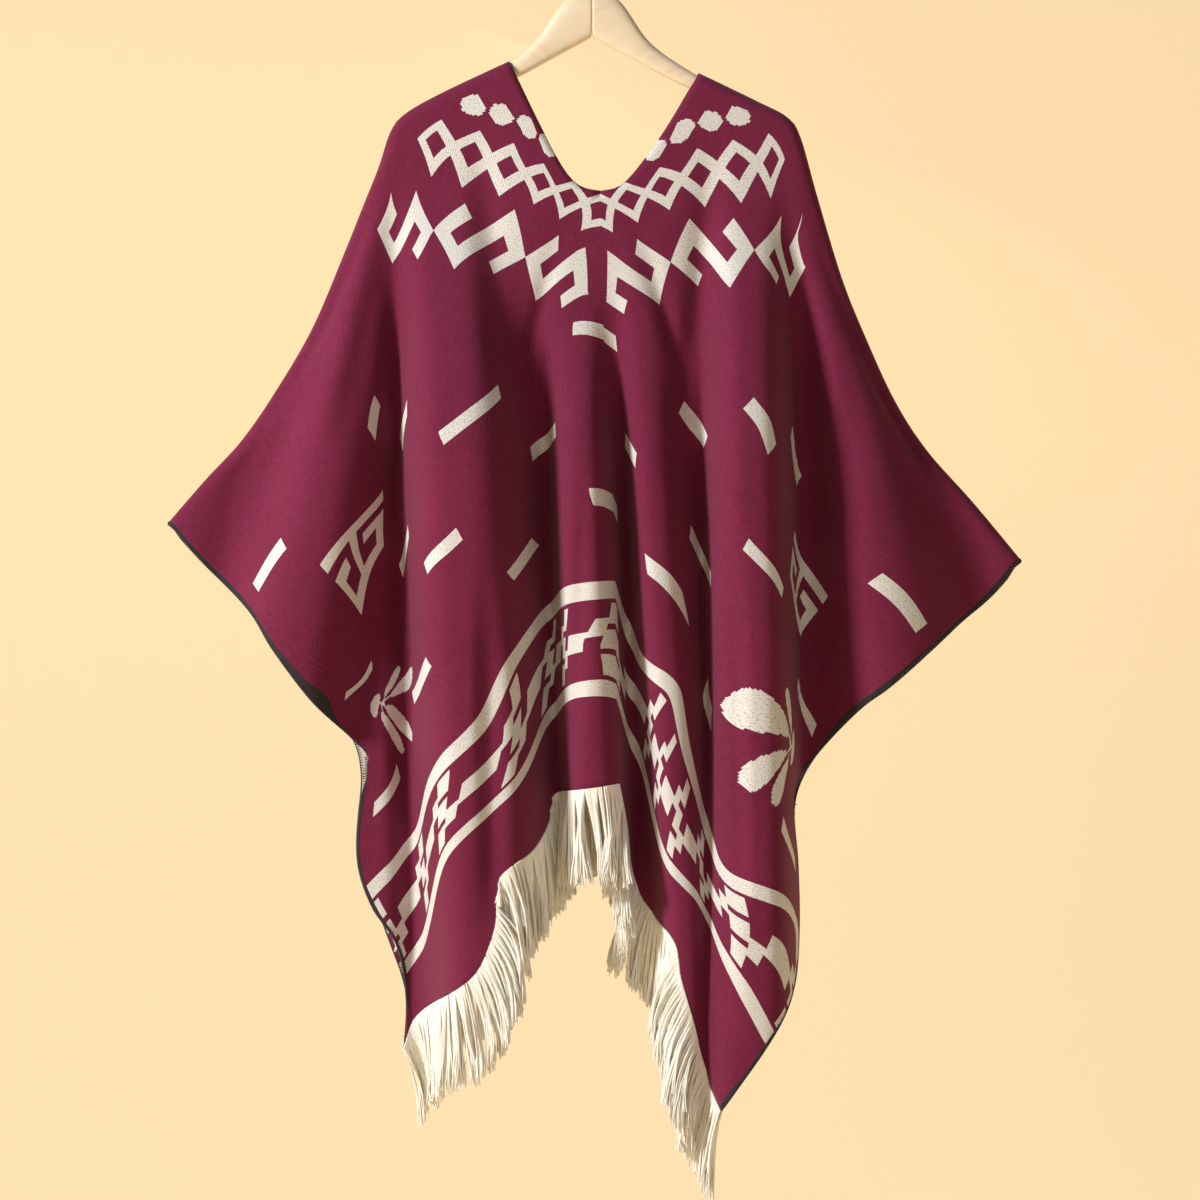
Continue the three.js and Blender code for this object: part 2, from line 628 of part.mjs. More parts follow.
// A wooden arm: closed rings along it, round on top and eased at the bottom corners.
function hangerArm(side) {
  const sign = side === "left" ? -1 : 1;
  const start = Math.abs(RIDGE[side][0][0] - HANGER_CENTRE);
  const stations = ARM_NECK.map((s) => ({ ...s, round: 1 }));
  for (let out = start; out <= ARM_LENGTH; out += ARM_STEP) {
    const top = ridgeHeight(side, HANGER_CENTRE + sign * out) - (CLOTH / 2 + ARM_CLEARANCE) * ARM_SLOPE_GAIN;
    stations.push({ out, top, bottom: top - ARM_HEIGHT, round: 1 });
  }
  const tip = stations.at(-1);
  tip.top -= ARM_CLEARANCE;
  const middle = (tip.top + tip.bottom) / 2 - ARM_TIP.drop;
  stations.push({
    out: tip.out + ARM_TIP.reach,
    top: middle + ARM_TIP.half,
    bottom: middle - ARM_TIP.half,
    round: ARM_TIP.share,
  });
  const rings = stations.map(({ out, top, bottom, round }) => {
    const x = HANGER_CENTRE + sign * out;
    const half = (ARM_WIDTH / 2) * round;
    const cap = Math.min(half * 1.1, (top - bottom) / 2);
    const ring = [];
    for (let i = 0; i <= ARM_TOP_SIDES; i++) {
      const angle = (Math.PI * i) / ARM_TOP_SIDES;
      ring.push(new THREE.Vector3(x, half * Math.cos(angle), top - cap + cap * Math.sin(angle)));
    }
    const ease = half * ARM_EASE;
    ring.push(new THREE.Vector3(x, -half, bottom + ease), new THREE.Vector3(x, -half + ease, bottom));
    ring.push(new THREE.Vector3(x, half - ease, bottom), new THREE.Vector3(x, half, bottom + ease));
    return ring;
  });
  const sides = rings[0].length;
  const faces = [];
  const add = (a, b, c) => faces.push(sign > 0 ? [a, b, c] : [a, c, b]);
  for (let k = 1; k < rings.length; k++)
    for (let i = 0; i < sides; i++) {
      const a = (k - 1) * sides + i;
      const b = (k - 1) * sides + ((i + 1) % sides);
      add(a, b, b + sides);
      add(a, b + sides, a + sides);
    }
  const end = (rings.length - 1) * sides;
  for (let i = 1; i < sides - 1; i++) {
    add(0, i + 1, i);
    add(end, end + i, end + i + 1);
  }
  const geometry = new THREE.BufferGeometry().setFromPoints(rings.flat());
  geometry.setIndex(faces.flat());
  return geometry;
}

// The wire hook: a short stem, then most of a circle whose inside crown is the origin.
function wireHook() {
  const centreZ = WIRE_RADIUS - HOOK_RADIUS;
  const path = [
    new THREE.Vector3(HANGER_CENTRE, 0, WOOD_TOP + SEAM_GAP),
    new THREE.Vector3(HANGER_CENTRE, 0, WOOD_TOP + HOOK_STEM),
  ];
  for (let i = 0; i <= HOOK_BENDS; i++) {
    const angle = THREE.MathUtils.degToRad(HOOK_FROM + ((HOOK_TO - HOOK_FROM) * i) / HOOK_BENDS);
    path.push(new THREE.Vector3(HOOK_RADIUS * Math.cos(angle), 0, centreZ + HOOK_RADIUS * Math.sin(angle)));
  }
  const section = new THREE.Shape().absarc(0, 0, WIRE_RADIUS, 0, 2 * Math.PI);
  return new THREE.ExtrudeGeometry(section, {
    steps: HOOK_STEPS,
    curveSegments: 4,
    bevelEnabled: false,
    extrudePath: new THREE.CatmullRomCurve3(path, false, "centripetal"),
  });
}

function material(color, roughness, metalness = 0) {
  return new THREE.MeshStandardMaterial({ color, roughness, metalness });
}
const burgundyCloth = () => material(0x6e1c3a, 0.9);
const ivoryYarn = () => material(0xf6efdd, 0.85);
const paleBirch = () => material(0xe9d3b4, 0.5);
const brightSteel = () => material(0xc8c9cc, 0.25, 1);

const cape = new THREE.Group();
function place(name, geometry, finish) {
  const mesh = new THREE.Mesh(geometry, finish);
  mesh.name = name;
  cape.add(mesh);
}

const frontNet = hangPanel({
  folds: FRONT_FOLDS, grid: FRONT_GRID, sideEdge: FRONT_SIDE, hem: FRONT_HEM, middle: FRONT_MIDDLE,
  facing: -1,
});
const backNet = hangPanel({
  folds: BACK_FOLDS, grid: BACK_GRID, sideEdge: BACK_SIDE, hem: BACK_HEM, middle: BACK_MIDDLE,
  facing: 1,
});
place("front_panel", panelWall(frontNet, -1), burgundyCloth());
place("back_panel", panelWall(backNet, 1), burgundyCloth());
place("front_fringe", fringe(frontNet, -1, 60), ivoryYarn());
place("back_fringe", fringe(backNet, 1, 40), ivoryYarn());
place("hanger_arm_left", hangerArm("left"), paleBirch());
place("hanger_arm_right", hangerArm("right"), paleBirch());
place("hanger_hook", wireHook(), brightSteel());

export default cape;
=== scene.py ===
"""A fringed poncho cape, one woven rectangle with a V neck, hanging from a wooden coat hanger."""

import logging
import math
from dataclasses import dataclass, field
from enum import Enum
from typing import Sequence

import bmesh
import bpy
import numpy as np
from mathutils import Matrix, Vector


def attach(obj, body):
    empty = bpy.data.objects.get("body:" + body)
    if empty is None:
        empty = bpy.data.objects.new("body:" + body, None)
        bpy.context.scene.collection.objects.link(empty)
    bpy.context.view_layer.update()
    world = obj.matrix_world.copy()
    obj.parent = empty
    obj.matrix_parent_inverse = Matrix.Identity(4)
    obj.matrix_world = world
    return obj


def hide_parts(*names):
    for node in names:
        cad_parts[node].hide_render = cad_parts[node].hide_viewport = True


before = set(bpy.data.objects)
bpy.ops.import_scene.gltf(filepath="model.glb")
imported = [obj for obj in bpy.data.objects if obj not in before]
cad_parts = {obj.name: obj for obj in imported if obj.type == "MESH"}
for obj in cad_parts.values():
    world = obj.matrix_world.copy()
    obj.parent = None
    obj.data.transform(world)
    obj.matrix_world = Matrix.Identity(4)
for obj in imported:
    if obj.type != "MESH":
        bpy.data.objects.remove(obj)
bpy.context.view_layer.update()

LOG = logging.getLogger("cape")
MM = 0.001
Points = Sequence[tuple[float, float]]
Span = tuple[float, float]
Colour = tuple[float, float, float, float]


class Facing(Enum):
    """Which way a panel faces along Y."""

    FRONT = -1
    BACK = 1


class Half(Enum):
    """The left or right half of a panel, as seen from the front."""

    LEFT = "left"
    RIGHT = "right"


@dataclass(frozen=True)
class Cut:
    """The cloth laid flat, in millimetres: u across from the centre line, v down from the fold."""

    width: float = 1300.0
    length: float = 1500.0
    neck_half_width: float = 27.0
    neck_drop: float = 167.0
    thickness: float = 2.4
    fringe: float = 88.0

    @property
    def half_width(self) -> float:
        """From the centre line to a side edge."""
        return self.width / 2

    @property
    def drop(self) -> float:
        """From the shoulder fold to a hem."""
        return self.length / 2

    def slit_half(self, v: np.ndarray) -> np.ndarray:
        """Half the width of the neck slit at each drop v."""
        return self.neck_half_width * np.maximum(0.0, 1.0 - v / self.neck_drop)


CUT = Cut()


@dataclass(frozen=True)
class Fold:
    """A soft fold whose crest runs through its top and its low end; a trough has a negative depth.

    It is fully grown at the low end, and left and right are how far from the crest it dies out there.
    A steepness above 1 gives a broad crest with a steep side.
    """

    top_x: float
    top_z: float
    low_x: float
    low_z: float
    left: float
    right: float
    depth: float
    left_steep: float = 1.0
    right_steep: float = 1.0
    end_z: float = -2000.0


@dataclass
class FoldSet:
    """Folds worked out together, each value an array over the folds."""

    folds: tuple[Fold, ...]
    narrow_at_top: float = 0.75
    ending: float = 60.0
    fullness: float = 1.08

    def __post_init__(self) -> None:
        """Turns the folds' values into columns."""
        names = Fold.__dataclass_fields__
        self.column = {n: np.array([getattr(f, n) for f in self.folds])[:, None] for n in names}

    def depth(self, x: np.ndarray, z: np.ndarray) -> np.ndarray:
        """How far the folds stand out at each place.

        Args:
            x: places across, in millimetres.
            z: places up, in millimetres.

        Returns:
            The depth at each place, in millimetres.
        """
        k = self.column
        across, up = x.ravel()[None], z.ravel()[None]
        fall = (k["top_z"] - up) / (k["top_z"] - k["low_z"])
        grown = np.clip(fall, 0.0, 1.0)
        from_crest = across - k["top_x"] - (k["low_x"] - k["top_x"]) * fall
        on_left = from_crest < 0
        spread = self.narrow_at_top + (1 - self.narrow_at_top) * grown
        reach = np.where(on_left, k["left"], k["right"]) * spread
        away = np.minimum(np.abs(from_crest) / reach, 1.0)
        steep = np.where(on_left, k["left_steep"], k["right_steep"])
        shape = np.cos(math.pi / 2 * away**steep) ** 2
        kept = np.clip((up - k["end_z"]) / self.ending, 0.0, 1.0)
        each = self.fullness * k["depth"] * grown**2 * (3 - 2 * grown) * shape * kept
        return each.sum(0).reshape(x.shape)


@dataclass(frozen=True)
class Landmark:
    """A place on the flat cut, as u and v, and where it hangs, as x and z, in millimetres."""

    u: float
    v: float
    x: float
    z: float


def landmarks(*rows: tuple[float, float, float, float]) -> tuple[Landmark, ...]:
    """Landmarks from rows of u, v, x and z."""
    return tuple(Landmark(*row) for row in rows)


@dataclass(frozen=True)
class PanelShape:
    """One panel's outlines seen from the front, as x and z in millimetres, and its folds."""

    facing: Facing
    sides: dict[Half, Points]
    hems: dict[Half, Points]
    middle: Points
    folds: tuple[Fold, ...]
    creases: tuple[Fold, ...]
    columns: int
    neck_rows: int
    body_rows: int
    landmarks: dict[Half, tuple[Landmark, ...]] = field(default_factory=dict)


RIDGE: dict[Half, Points] = {
    Half.LEFT: (
        (-87, -125), (-155, -157), (-192, -178), (-207, -196), (-219, -232), (-235, -272),
        (-255, -322), (-287, -397), (-325, -462), (-359, -511), (-395, -550), (-434, -595),
    ),
    Half.RIGHT: (
        (105, -137), (165, -166), (195, -182), (208, -202), (225, -262), (250, -345),
        (274, -405), (304, -470), (337, -521), (384, -574), (433, -633),
    ),
}
NECK_EDGE: dict[Half, Points] = {
    Half.LEFT: ((-87, -125), (-55, -192), (-32, -235), (-15, -253), (5, -258)),
    Half.RIGHT: ((105, -137), (73, -192), (45, -232), (25, -253), (5, -258)),
}
FRONT = PanelShape(
    facing=Facing.FRONT,
    sides={
        Half.LEFT: (
            (-434, -595), (-393, -640), (-346, -686), (-322, -722), (-284, -772), (-244, -813),
            (-228, -835), (-238, -880), (-240, -935), (-226, -980), (-200, -1021), (-191, -1075),
            (-193, -1125),
        ),
        Half.RIGHT: (
            (433, -633), (401, -670), (364, -700), (298, -757), (265, -783), (220, -835),
            (199, -870), (204, -940), (205, -1005), (198, -1060), (172, -1110), (124, -1178),
        ),
    },
    hems={
        Half.LEFT: (
            (-193, -1125), (-182, -1099), (-158, -1076), (-118, -1044), (-102, -1014), (-95, -988),
            (-94, -953), (-83, -938), (-63, -923), (-50, -904), (-43, -885), (-38, -868), (22, -857),
        ),
        Half.RIGHT: (
            (124, -1178), (105, -1132), (96, -1094), (84, -1048), (79, -1014), (62, -993),
            (43, -968), (34, -940), (30, -900), (22, -857),
        ),
    },
    middle=((5, -258), (8, -400), (17, -570), (20, -735), (22, -857)),
    folds=(
        Fold(-232, -236, -290, -620, 96, 82, 44, 1.0, 1.6),
        Fold(-262, -330, -352, -620, 66, 50, -12),
        Fold(-205, -225, -197, -560, 24, 24, -16),
        Fold(-156, -228, -136, -560, 66, 88, 74, 2.1, 1.7),
        Fold(-48, -300, -47, -560, 22, 14, -6),
        Fold(-22, -330, -11, -600, 38, 38, 50, 1.8, 2.0),
        Fold(20, -300, 30, -620, 16, 18, -8),
        Fold(40, -300, 64, -640, 32, 48, 42, 1.6, 1.3),
        Fold(112, -300, 112, -600, 16, 14, -6),
        Fold(152, -222, 155, -560, 50, 52, 68, 1.9, 2.1),
        Fold(205, -225, 210, -560, 22, 44, -15),
        Fold(246, -262, 288, -640, 70, 112, 38, 1.2, 1.0),
        Fold(284, -380, 372, -660, 50, 56, -9),
    ),
    creases=(
        Fold(-205, -200, -246, -380, 16, 22, 7, end_z=-520),
        Fold(-214, -230, -300, -470, 22, 20, -5.6, end_z=-600),
        Fold(-120, -160, -104, -330, 26, 22, -7, end_z=-470),
        Fold(-24, -258, -56, -380, 12, 10, -7, end_z=-460),
        Fold(34, -258, 66, -370, 12, 12, -7, end_z=-450),
        Fold(122, -170, 108, -330, 22, 22, -7, end_z=-470),
        Fold(196, -195, 226, -380, 14, 20, 7, end_z=-520),
        Fold(206, -240, 286, -470, 20, 22, -5.6, end_z=-600),
        Fold(-108, -600, -104, -800, 20, 24, -8.4, end_z=-1000),
        Fold(138, -560, 140, -760, 14, 16, -7, end_z=-1000),
        Fold(-12, -500, -16, -680, 12, 12, -5.6, end_z=-820),
    ),
    landmarks={
        Half.LEFT: landmarks(
            (80, 34, -123, -170), (59.5, 54.5, -95, -181), (39, 75, -67, -191),
            (135, 52, -162, -207), (108, 79, -124, -220), (81, 106, -89, -234),
            (54, 133, -53, -247), (173, 111, -163, -299), (130, 111, -132, -273),
            (91, 144, -81, -277), (91, 193, -70, -326), (134, 193, -103, -344),
            (173, 160, -142, -339), (48, 193, -37, -305), (9, 226, -11, -314),
            (9, 275, -8, -363), (91, 242, -60, -369), (52, 275, -33, -379),
            (173, 62, -181, -257), (216, 111, -178, -330), (255, 29, -220, -298),
            (212, 29, -207, -267), (255, 78, -206, -330),
            (30, 309, -23, -398), (30, 476, -5, -569), (29, 610, -13, -715),
            (11, 637, 8, -734), (11, 660, 8, -760),
            (100, 392, -48, -512), (200, 309, -115, -483), (200, 476, -76, -637),
            (300, 392, -149, -621), (400, 309, -191, -622), (400, 142, -223, -484),
            (500, 225, -241, -624), (400, 476, -176, -760), (500, 440, -217, -775),
            (300, 225, -194, -500), (452, 192, -215, -560), (547, 192, -275, -637),
            (600, 142, -326, -635), (600, 309, -233, -754),
            (250, 560, -45, -684), (320, 560, -85, -738),
            (385, 560, -110, -793), (440, 560, -155, -842),
        ),
        Half.RIGHT: landmarks(
            (80, 34, 145, -181), (59.5, 54.5, 117, -187), (39, 75, 89, -194),
            (135, 52, 180, -226), (108, 79, 143, -232), (81, 106, 106, -241),
            (54, 133, 67, -251), (173, 111, 160, -319), (130, 111, 140, -288),
            (91, 144, 95, -286), (91, 193, 76, -331), (134, 193, 104, -355),
            (173, 160, 136, -358), (48, 193, 43, -309), (9, 226, 12, -316),
            (52, 275, 29, -384), (91, 242, 65, -373),
            (173, 62, 189, -282), (216, 111, 183, -354), (255, 29, 212, -337),
            (212, 29, 204, -302),
            (100, 392, 36, -519), (200, 309, 102, -497), (300, 225, 169, -497),
            (200, 476, 69, -650), (300, 392, 105, -625),
            (400, 309, 174, -643), (547, 198, 234, -672),
            (400, 440, 130, -748), (452, 476, 131, -820),
            (400, 476, 112, -773), (500, 440, 195, -818), (452, 440, 160, -784),
            (600, 142, 307, -672), (600, 309, 207, -776),
            (60, 560, 45, -730), (130, 560, 80, -763),
            (500, 500, 151, -871), (452, 500, 120, -837),
            (520, 560, 125, -940), (612, 560, 203, -1006),
        ),
    },
    columns=27,
    neck_rows=5,
    body_rows=18,
)
BACK = PanelShape(
    facing=Facing.BACK,
    sides={
        Half.LEFT: (
            (-434, -595), (-391, -642), (-344, -689), (-320, -726), (-282, -776), (-250, -812),
            (-240, -850), (-243, -905), (-236, -960), (-214, -1012), (-196, -1062), (-186, -1112),
        ),
        Half.RIGHT: (
            (433, -633), (399, -672), (362, -702), (296, -760), (262, -787), (222, -836),
            (204, -880), (206, -945), (200, -1010), (178, -1075), (165, -1120), (147, -1166),
        ),
    },
    hems={
        Half.LEFT: (
            (-186, -1112), (-170, -1080), (-146, -1052), (-112, -1028), (-94, -988), (-84, -945),
            (-60, -915), (-34, -880), (0, -858),
        ),
        Half.RIGHT: (
            (147, -1166), (122, -1120), (108, -1070), (92, -1020), (70, -985), (52, -950),
            (36, -905), (22, -870), (0, -858),
        ),
    },
    middle=((5, -258), (2, -560), (0, -858)),
    folds=(
        Fold(-236, -250, -300, -640, 96, 84, 40, 1.0, 1.5),
        Fold(-207, -225, -204, -560, 26, 24, -15),
        Fold(-168, -226, -152, -580, 50, 70, 78, 2.2, 1.5),
        Fold(-66, -270, -60, -600, 38, 44, 52, 1.6, 1.4),
        Fold(22, -270, 24, -600, 46, 42, 60, 1.7, 2.0),
        Fold(134, -222, 142, -580, 70, 58, 76, 1.6, 2.2),
        Fold(205, -225, 212, -560, 24, 42, -15),
        Fold(246, -270, 292, -650, 70, 108, 36, 1.2, 1.0),
    ),
    creases=(
        Fold(-204, -205, -242, -380, 16, 22, 7, end_z=-520),
        Fold(-216, -240, -300, -470, 20, 24, -5.6, end_z=-600),
        Fold(-112, -160, -98, -330, 24, 22, -7, end_z=-470),
        Fold(-20, -258, -40, -380, 12, 12, -7, end_z=-460),
        Fold(28, -258, 50, -380, 14, 12, -7, end_z=-460),
        Fold(128, -170, 104, -330, 22, 20, -7, end_z=-470),
        Fold(197, -197, 232, -380, 14, 20, 7, end_z=-520),
        Fold(-104, -600, -98, -780, 18, 20, -8.4, end_z=-1000),
        Fold(74, -560, 76, -760, 16, 20, -8.4, end_z=-1000),
    ),
    columns=19,
    neck_rows=4,
    body_rows=13,
)


def smooth_line(points: Points, samples: int) -> np.ndarray:
    """A smooth plane curve through a few points.

    Args:
        points: the places that the curve passes through.
        samples: how many steps the curve is divided into.

    Returns:
        The curve's places, one row for each.
    """
    knots = np.array(points, float)
    last = len(knots) - 1
    place = np.linspace(0.0, last, samples + 1)
    first = np.minimum(place.astype(int), last)
    t = (place - first)[:, None]
    before = knots[np.maximum(first - 1, 0)]
    here = knots[first]
    after = knots[np.minimum(first + 1, last)]
    beyond = knots[np.minimum(first + 2, last)]
    slope_in = (after - before) / 2
    slope_out = (beyond - here) / 2
    return (
        (2 * here - 2 * after + slope_in + slope_out) * t**3
        + (-3 * here + 3 * after - 2 * slope_in - slope_out) * t**2
        + slope_in * t
        + here
    )


def resample(values: np.ndarray, old: np.ndarray, new: np.ndarray) -> np.ndarray:
    """Smooth interpolation down the first axis of an array.

    Args:
        values: rows of numbers.
        old: the place of each row.
        new: the places wanted.

    Returns:
        Rows at the new places.
    """
    slopes = np.gradient(values, old, axis=0)
    index = np.clip(np.searchsorted(old, new, side="right") - 1, 0, len(old) - 2)
    width = (old[index + 1] - old[index])[:, None]
    t = ((new - old[index])[:, None]) / width
    low, high = values[index], values[index + 1]
    return (
        (1 + 2 * t) * (1 - t) ** 2 * low
        + t * (1 - t) ** 2 * width * slopes[index]
        + t**2 * (3 - 2 * t) * high
        + t**2 * (t - 1) * width * slopes[index + 1]
    )


def run_along(line: np.ndarray) -> np.ndarray:
    """The distance from a line's start to each of its places."""
    return np.concatenate([[0.0], np.cumsum(np.linalg.norm(np.diff(line, axis=0), axis=1))])


def read_along(wanted: np.ndarray, run: np.ndarray, rows: np.ndarray) -> np.ndarray:
    """Rows read between the rows of an array, at the wanted distances of its run."""
    return np.column_stack([np.interp(wanted, run, column) for column in rows.T])


def unit(vectors: np.ndarray) -> np.ndarray:
    """Rows scaled to length 1."""
    return vectors / np.maximum(np.linalg.norm(vectors, axis=-1, keepdims=True), 1e-9)


def flat_places(drops: np.ndarray, shares: np.ndarray) -> np.ndarray:
    """The flat cut of a half panel's nodes.

    Args:
        drops: the drop v of each row.
        shares: the share of each column, from the side edge to the middle.

    Returns:
        The u and v of each node.
    """
    u = CUT.half_width - shares * (CUT.half_width - CUT.slit_half(drops)[:, None])
    return np.stack([u, np.broadcast_to(drops[:, None], u.shape)], axis=-1)


def soften(grid: np.ndarray, passes: int) -> None:
    """Moves each inner value of a grid half way to the mean of its neighbours, time after time.

    Args:
        grid: the values, changed in place.
        passes: how many times.
    """
    for _ in range(passes):
        mean = (grid[:-2, 1:-1] + grid[2:, 1:-1] + grid[1:-1, :-2] + grid[1:-1, 2:]) / 4
        grid[1:-1, 1:-1] = (grid[1:-1, 1:-1] + mean) / 2


@dataclass
class HungNet:
    """A panel's middle surface: rows from the fold to the hem, each from the left edge to the right.

    place holds x, y and z in millimetres, and flat holds u and v. The slit's two edges are the
    columns left_slit and left_slit + 1, which coincide below the slit.
    """

    place: np.ndarray
    flat: np.ndarray
    left_slit: int


@dataclass
class Drape:
    """How the rectangle hangs: the round of the fold, the swing below it, and the settling.

    Steps and passes are counts. chart_knot_step is how many nodes apart the rim is read for the
    pattern's chart, and slope_step is how far apart depths are compared for a slope.
    """

    fold_radius: float = 9.8
    swing: float = 34.0
    swing_reach: float = 420.0
    least_depth: float = 3.2
    settle_steps: int = 700
    shear_stiffness: float = 0.12
    settle_rate: float = 0.6
    slope_step: float = 0.5
    chart_slack: float = 0.012
    chart_scale: float = 100.0
    chart_knot_step: int = 7
    spread_passes: int = 24
    fine_passes: int = 30
    outline_samples: int = 700
    shoulder_steps: int = 18
    arc_rows: int = 4
    even_passes: int = 3
    table_across: tuple[float, float] = (-480.0, 480.0)
    table_up: tuple[float, float] = (-1230.0, -90.0)
    table_step: float = 3.0
    shoulder: np.ndarray = field(init=False)
    table_x: np.ndarray = field(init=False)
    table_z: np.ndarray = field(init=False)
    table: np.ndarray = field(init=False)

    def __post_init__(self) -> None:
        """Works out the line of the shoulders, neck included."""
        left = smooth_line(RIDGE[Half.LEFT], self.shoulder_steps)[::-1]
        right = smooth_line(RIDGE[Half.RIGHT], self.shoulder_steps)
        self.shoulder = np.vstack([left, right])
        self.table_x = np.arange(*self.table_across, self.table_step)
        self.table_z = np.arange(*self.table_up, self.table_step)
        self.table = self.shoulder_distances()

    @property
    def arc_drop(self) -> float:
        """The cloth used by the quarter round over the shoulder."""
        return self.fold_radius * math.pi / 2

    def below_shoulder(self, x: np.ndarray, z: np.ndarray) -> np.ndarray:
        """Distance from each place to the line of the shoulders, read from a table of distances."""
        return self.read_table(self.table, x, z)

    def read_table(self, table: np.ndarray, x: np.ndarray, z: np.ndarray) -> np.ndarray:
        """Values between the places of a table over x and z.

        Args:
            table: one value for each height and place across.
            x: places across, in millimetres.
            z: places up, in millimetres.

        Returns:
            The value at each place.
        """
        last_row, last_column = np.array(table.shape) - 1 - MM
        across = np.clip((x - self.table_x[0]) / self.table_step, 0, last_column)
        up = np.clip((z - self.table_z[0]) / self.table_step, 0, last_row)
        column, row = across.astype(int), up.astype(int)
        s, t = across - column, up - row
        low = table[row, column] * (1 - s) + table[row, column + 1] * s
        high = table[row + 1, column] * (1 - s) + table[row + 1, column + 1] * s
        return low * (1 - t) + high * t

    def shoulder_distances(self) -> np.ndarray:
        """Measures how far every place of the table is from the line of the shoulders.

        Returns:
            The distances, one for each height and place across.
        """
        place = np.stack(np.meshgrid(self.table_x, self.table_z), axis=-1)
        least = np.full(place.shape[:2], np.inf)
        for start, end in zip(self.shoulder, self.shoulder[1:]):
            step = end - start
            t = np.clip(((place - start) @ step) / (step @ step), 0.0, 1.0)[..., None]
            least = np.minimum(least, np.linalg.norm(place - start - t * step, axis=-1))
        return least

    def depth(self, folds: FoldSet, x: np.ndarray, z: np.ndarray) -> np.ndarray:
        """How far the cloth stands out from the plane of the hanger.

        Args:
            folds: the folds that shape it.
            x: places across, in millimetres.
            z: places up, in millimetres.

        Returns:
            The depth at each place, in millimetres.
        """
        past = np.maximum(0.0, self.below_shoulder(x, z) - self.fold_radius)
        swing = self.swing * (1 - np.exp(-past / self.swing_reach))
        return np.maximum(self.least_depth, self.fold_radius + swing + folds.depth(x, z))

    def place_along(self, panel: PanelShape, points: Points, shares: np.ndarray) -> np.ndarray:
        """Places on an outline at given shares of its true length on the cloth.

        Args:
            panel: the panel that the outline bounds.
            points: the outline.
            shares: shares of its length, from 0 to 1.

        Returns:
            The x and z of each place.
        """
        line = smooth_line(points, self.outline_samples)
        depth = self.depth(FoldSet(panel.folds), line[:, 0], line[:, 1])
        solid = np.column_stack([line, depth])
        run = run_along(solid)
        return read_along(shares * run[-1], run, line)

    def ridge_frame(self, half: Half, shares: np.ndarray) -> tuple[np.ndarray, np.ndarray]:
        """The shoulder fold from the tip to the neck, and the way down the cloth from it.

        Args:
            half: which half.
            shares: shares of the ridge's length, from the tip.

        Returns:
            The places and the unit directions, each as x and z.
        """
        line = smooth_line(tuple(reversed(RIDGE[half])), self.outline_samples)
        run = run_along(line)
        wanted = shares * run[-1]
        at = read_along(wanted, run, line)
        way = unit(read_along(wanted, run, np.gradient(line, run, axis=0)))
        down = np.column_stack([way[:, 1], -way[:, 0]])
        down *= np.where(down[:, 1:] > 0, -1.0, 1.0)
        return at, down

    def row_drops(self, panel: PanelShape) -> np.ndarray:
        """The coarse rows of a panel, from the round of the shoulder to the hem.

        Args:
            panel: the panel.

        Returns:
            The drop v of each row.
        """
        neck_run = CUT.neck_drop - self.arc_drop
        neck = self.arc_drop + np.arange(panel.neck_rows) * neck_run / panel.neck_rows
        body = np.linspace(CUT.neck_drop, CUT.drop, panel.body_rows + 1)
        return np.concatenate([neck, body])

    def hang_half(self, panel: PanelShape, half: Half) -> tuple[np.ndarray, ...]:
        """Hangs a half panel on the draped surface with its free edges on their outlines.

        Args:
            panel: the panel.
            half: which half of it.

        Returns:
            The row drops, the column shares and the x and z of each node.
        """
        drops = self.row_drops(panel)
        shares = np.linspace(0.0, 1.0, panel.columns + 1)
        flat = flat_places(drops, shares)
        net = np.zeros_like(flat)
        self.pin_edges(panel, half, drops, shares, net)
        s = shares[None, 1:-1, None]
        t = (np.arange(1, len(drops) - 1) / (len(drops) - 1))[:, None, None]
        top, low = net[:1, 1:-1], net[-1:, 1:-1]
        edge, middle = net[1:-1, :1], net[1:-1, -1:]
        corners = (
            (1 - t) * (1 - s) * net[0, 0] + (1 - t) * s * net[0, -1]
            + t * (1 - s) * net[-1, 0] + t * s * net[-1, -1]
        )
        net[1:-1, 1:-1] = (1 - t) * top + t * low + (1 - s) * edge + s * middle - corners
        self.settle(FoldSet(panel.folds), flat, net, self.settle_steps)
        soften(net, self.spread_passes)
        return drops, shares, net

    def pin_edges(self, panel: PanelShape, half: Half, drops: np.ndarray, shares: np.ndarray,
                  net: np.ndarray) -> None:
        """Puts the nodes round a half panel on their outlines.

        Args:
            panel: the panel.
            half: which half of it.
            drops: the drop v of each row.
            shares: the share of each column, from the side edge.
            net: the hung place of each node, changed in place.
        """
        at, down = self.ridge_frame(half, shares)
        net[0] = at + down * self.fold_radius
        net[1:, 0] = self.place_along(panel, panel.sides[half], drops[1:] / CUT.drop)
        net[-1] = self.place_along(panel, panel.hems[half], shares)
        slit = drops[1:][drops[1:] <= CUT.neck_drop + MM]
        net[1 : len(slit) + 1, -1] = self.place_along(panel, NECK_EDGE[half], slit / CUT.neck_drop)
        below = slice(len(slit) + 1, -1)
        body_shares = (drops[below] - CUT.neck_drop) / (CUT.drop - CUT.neck_drop)
        net[below, -1] = self.place_along(panel, panel.middle, body_shares)

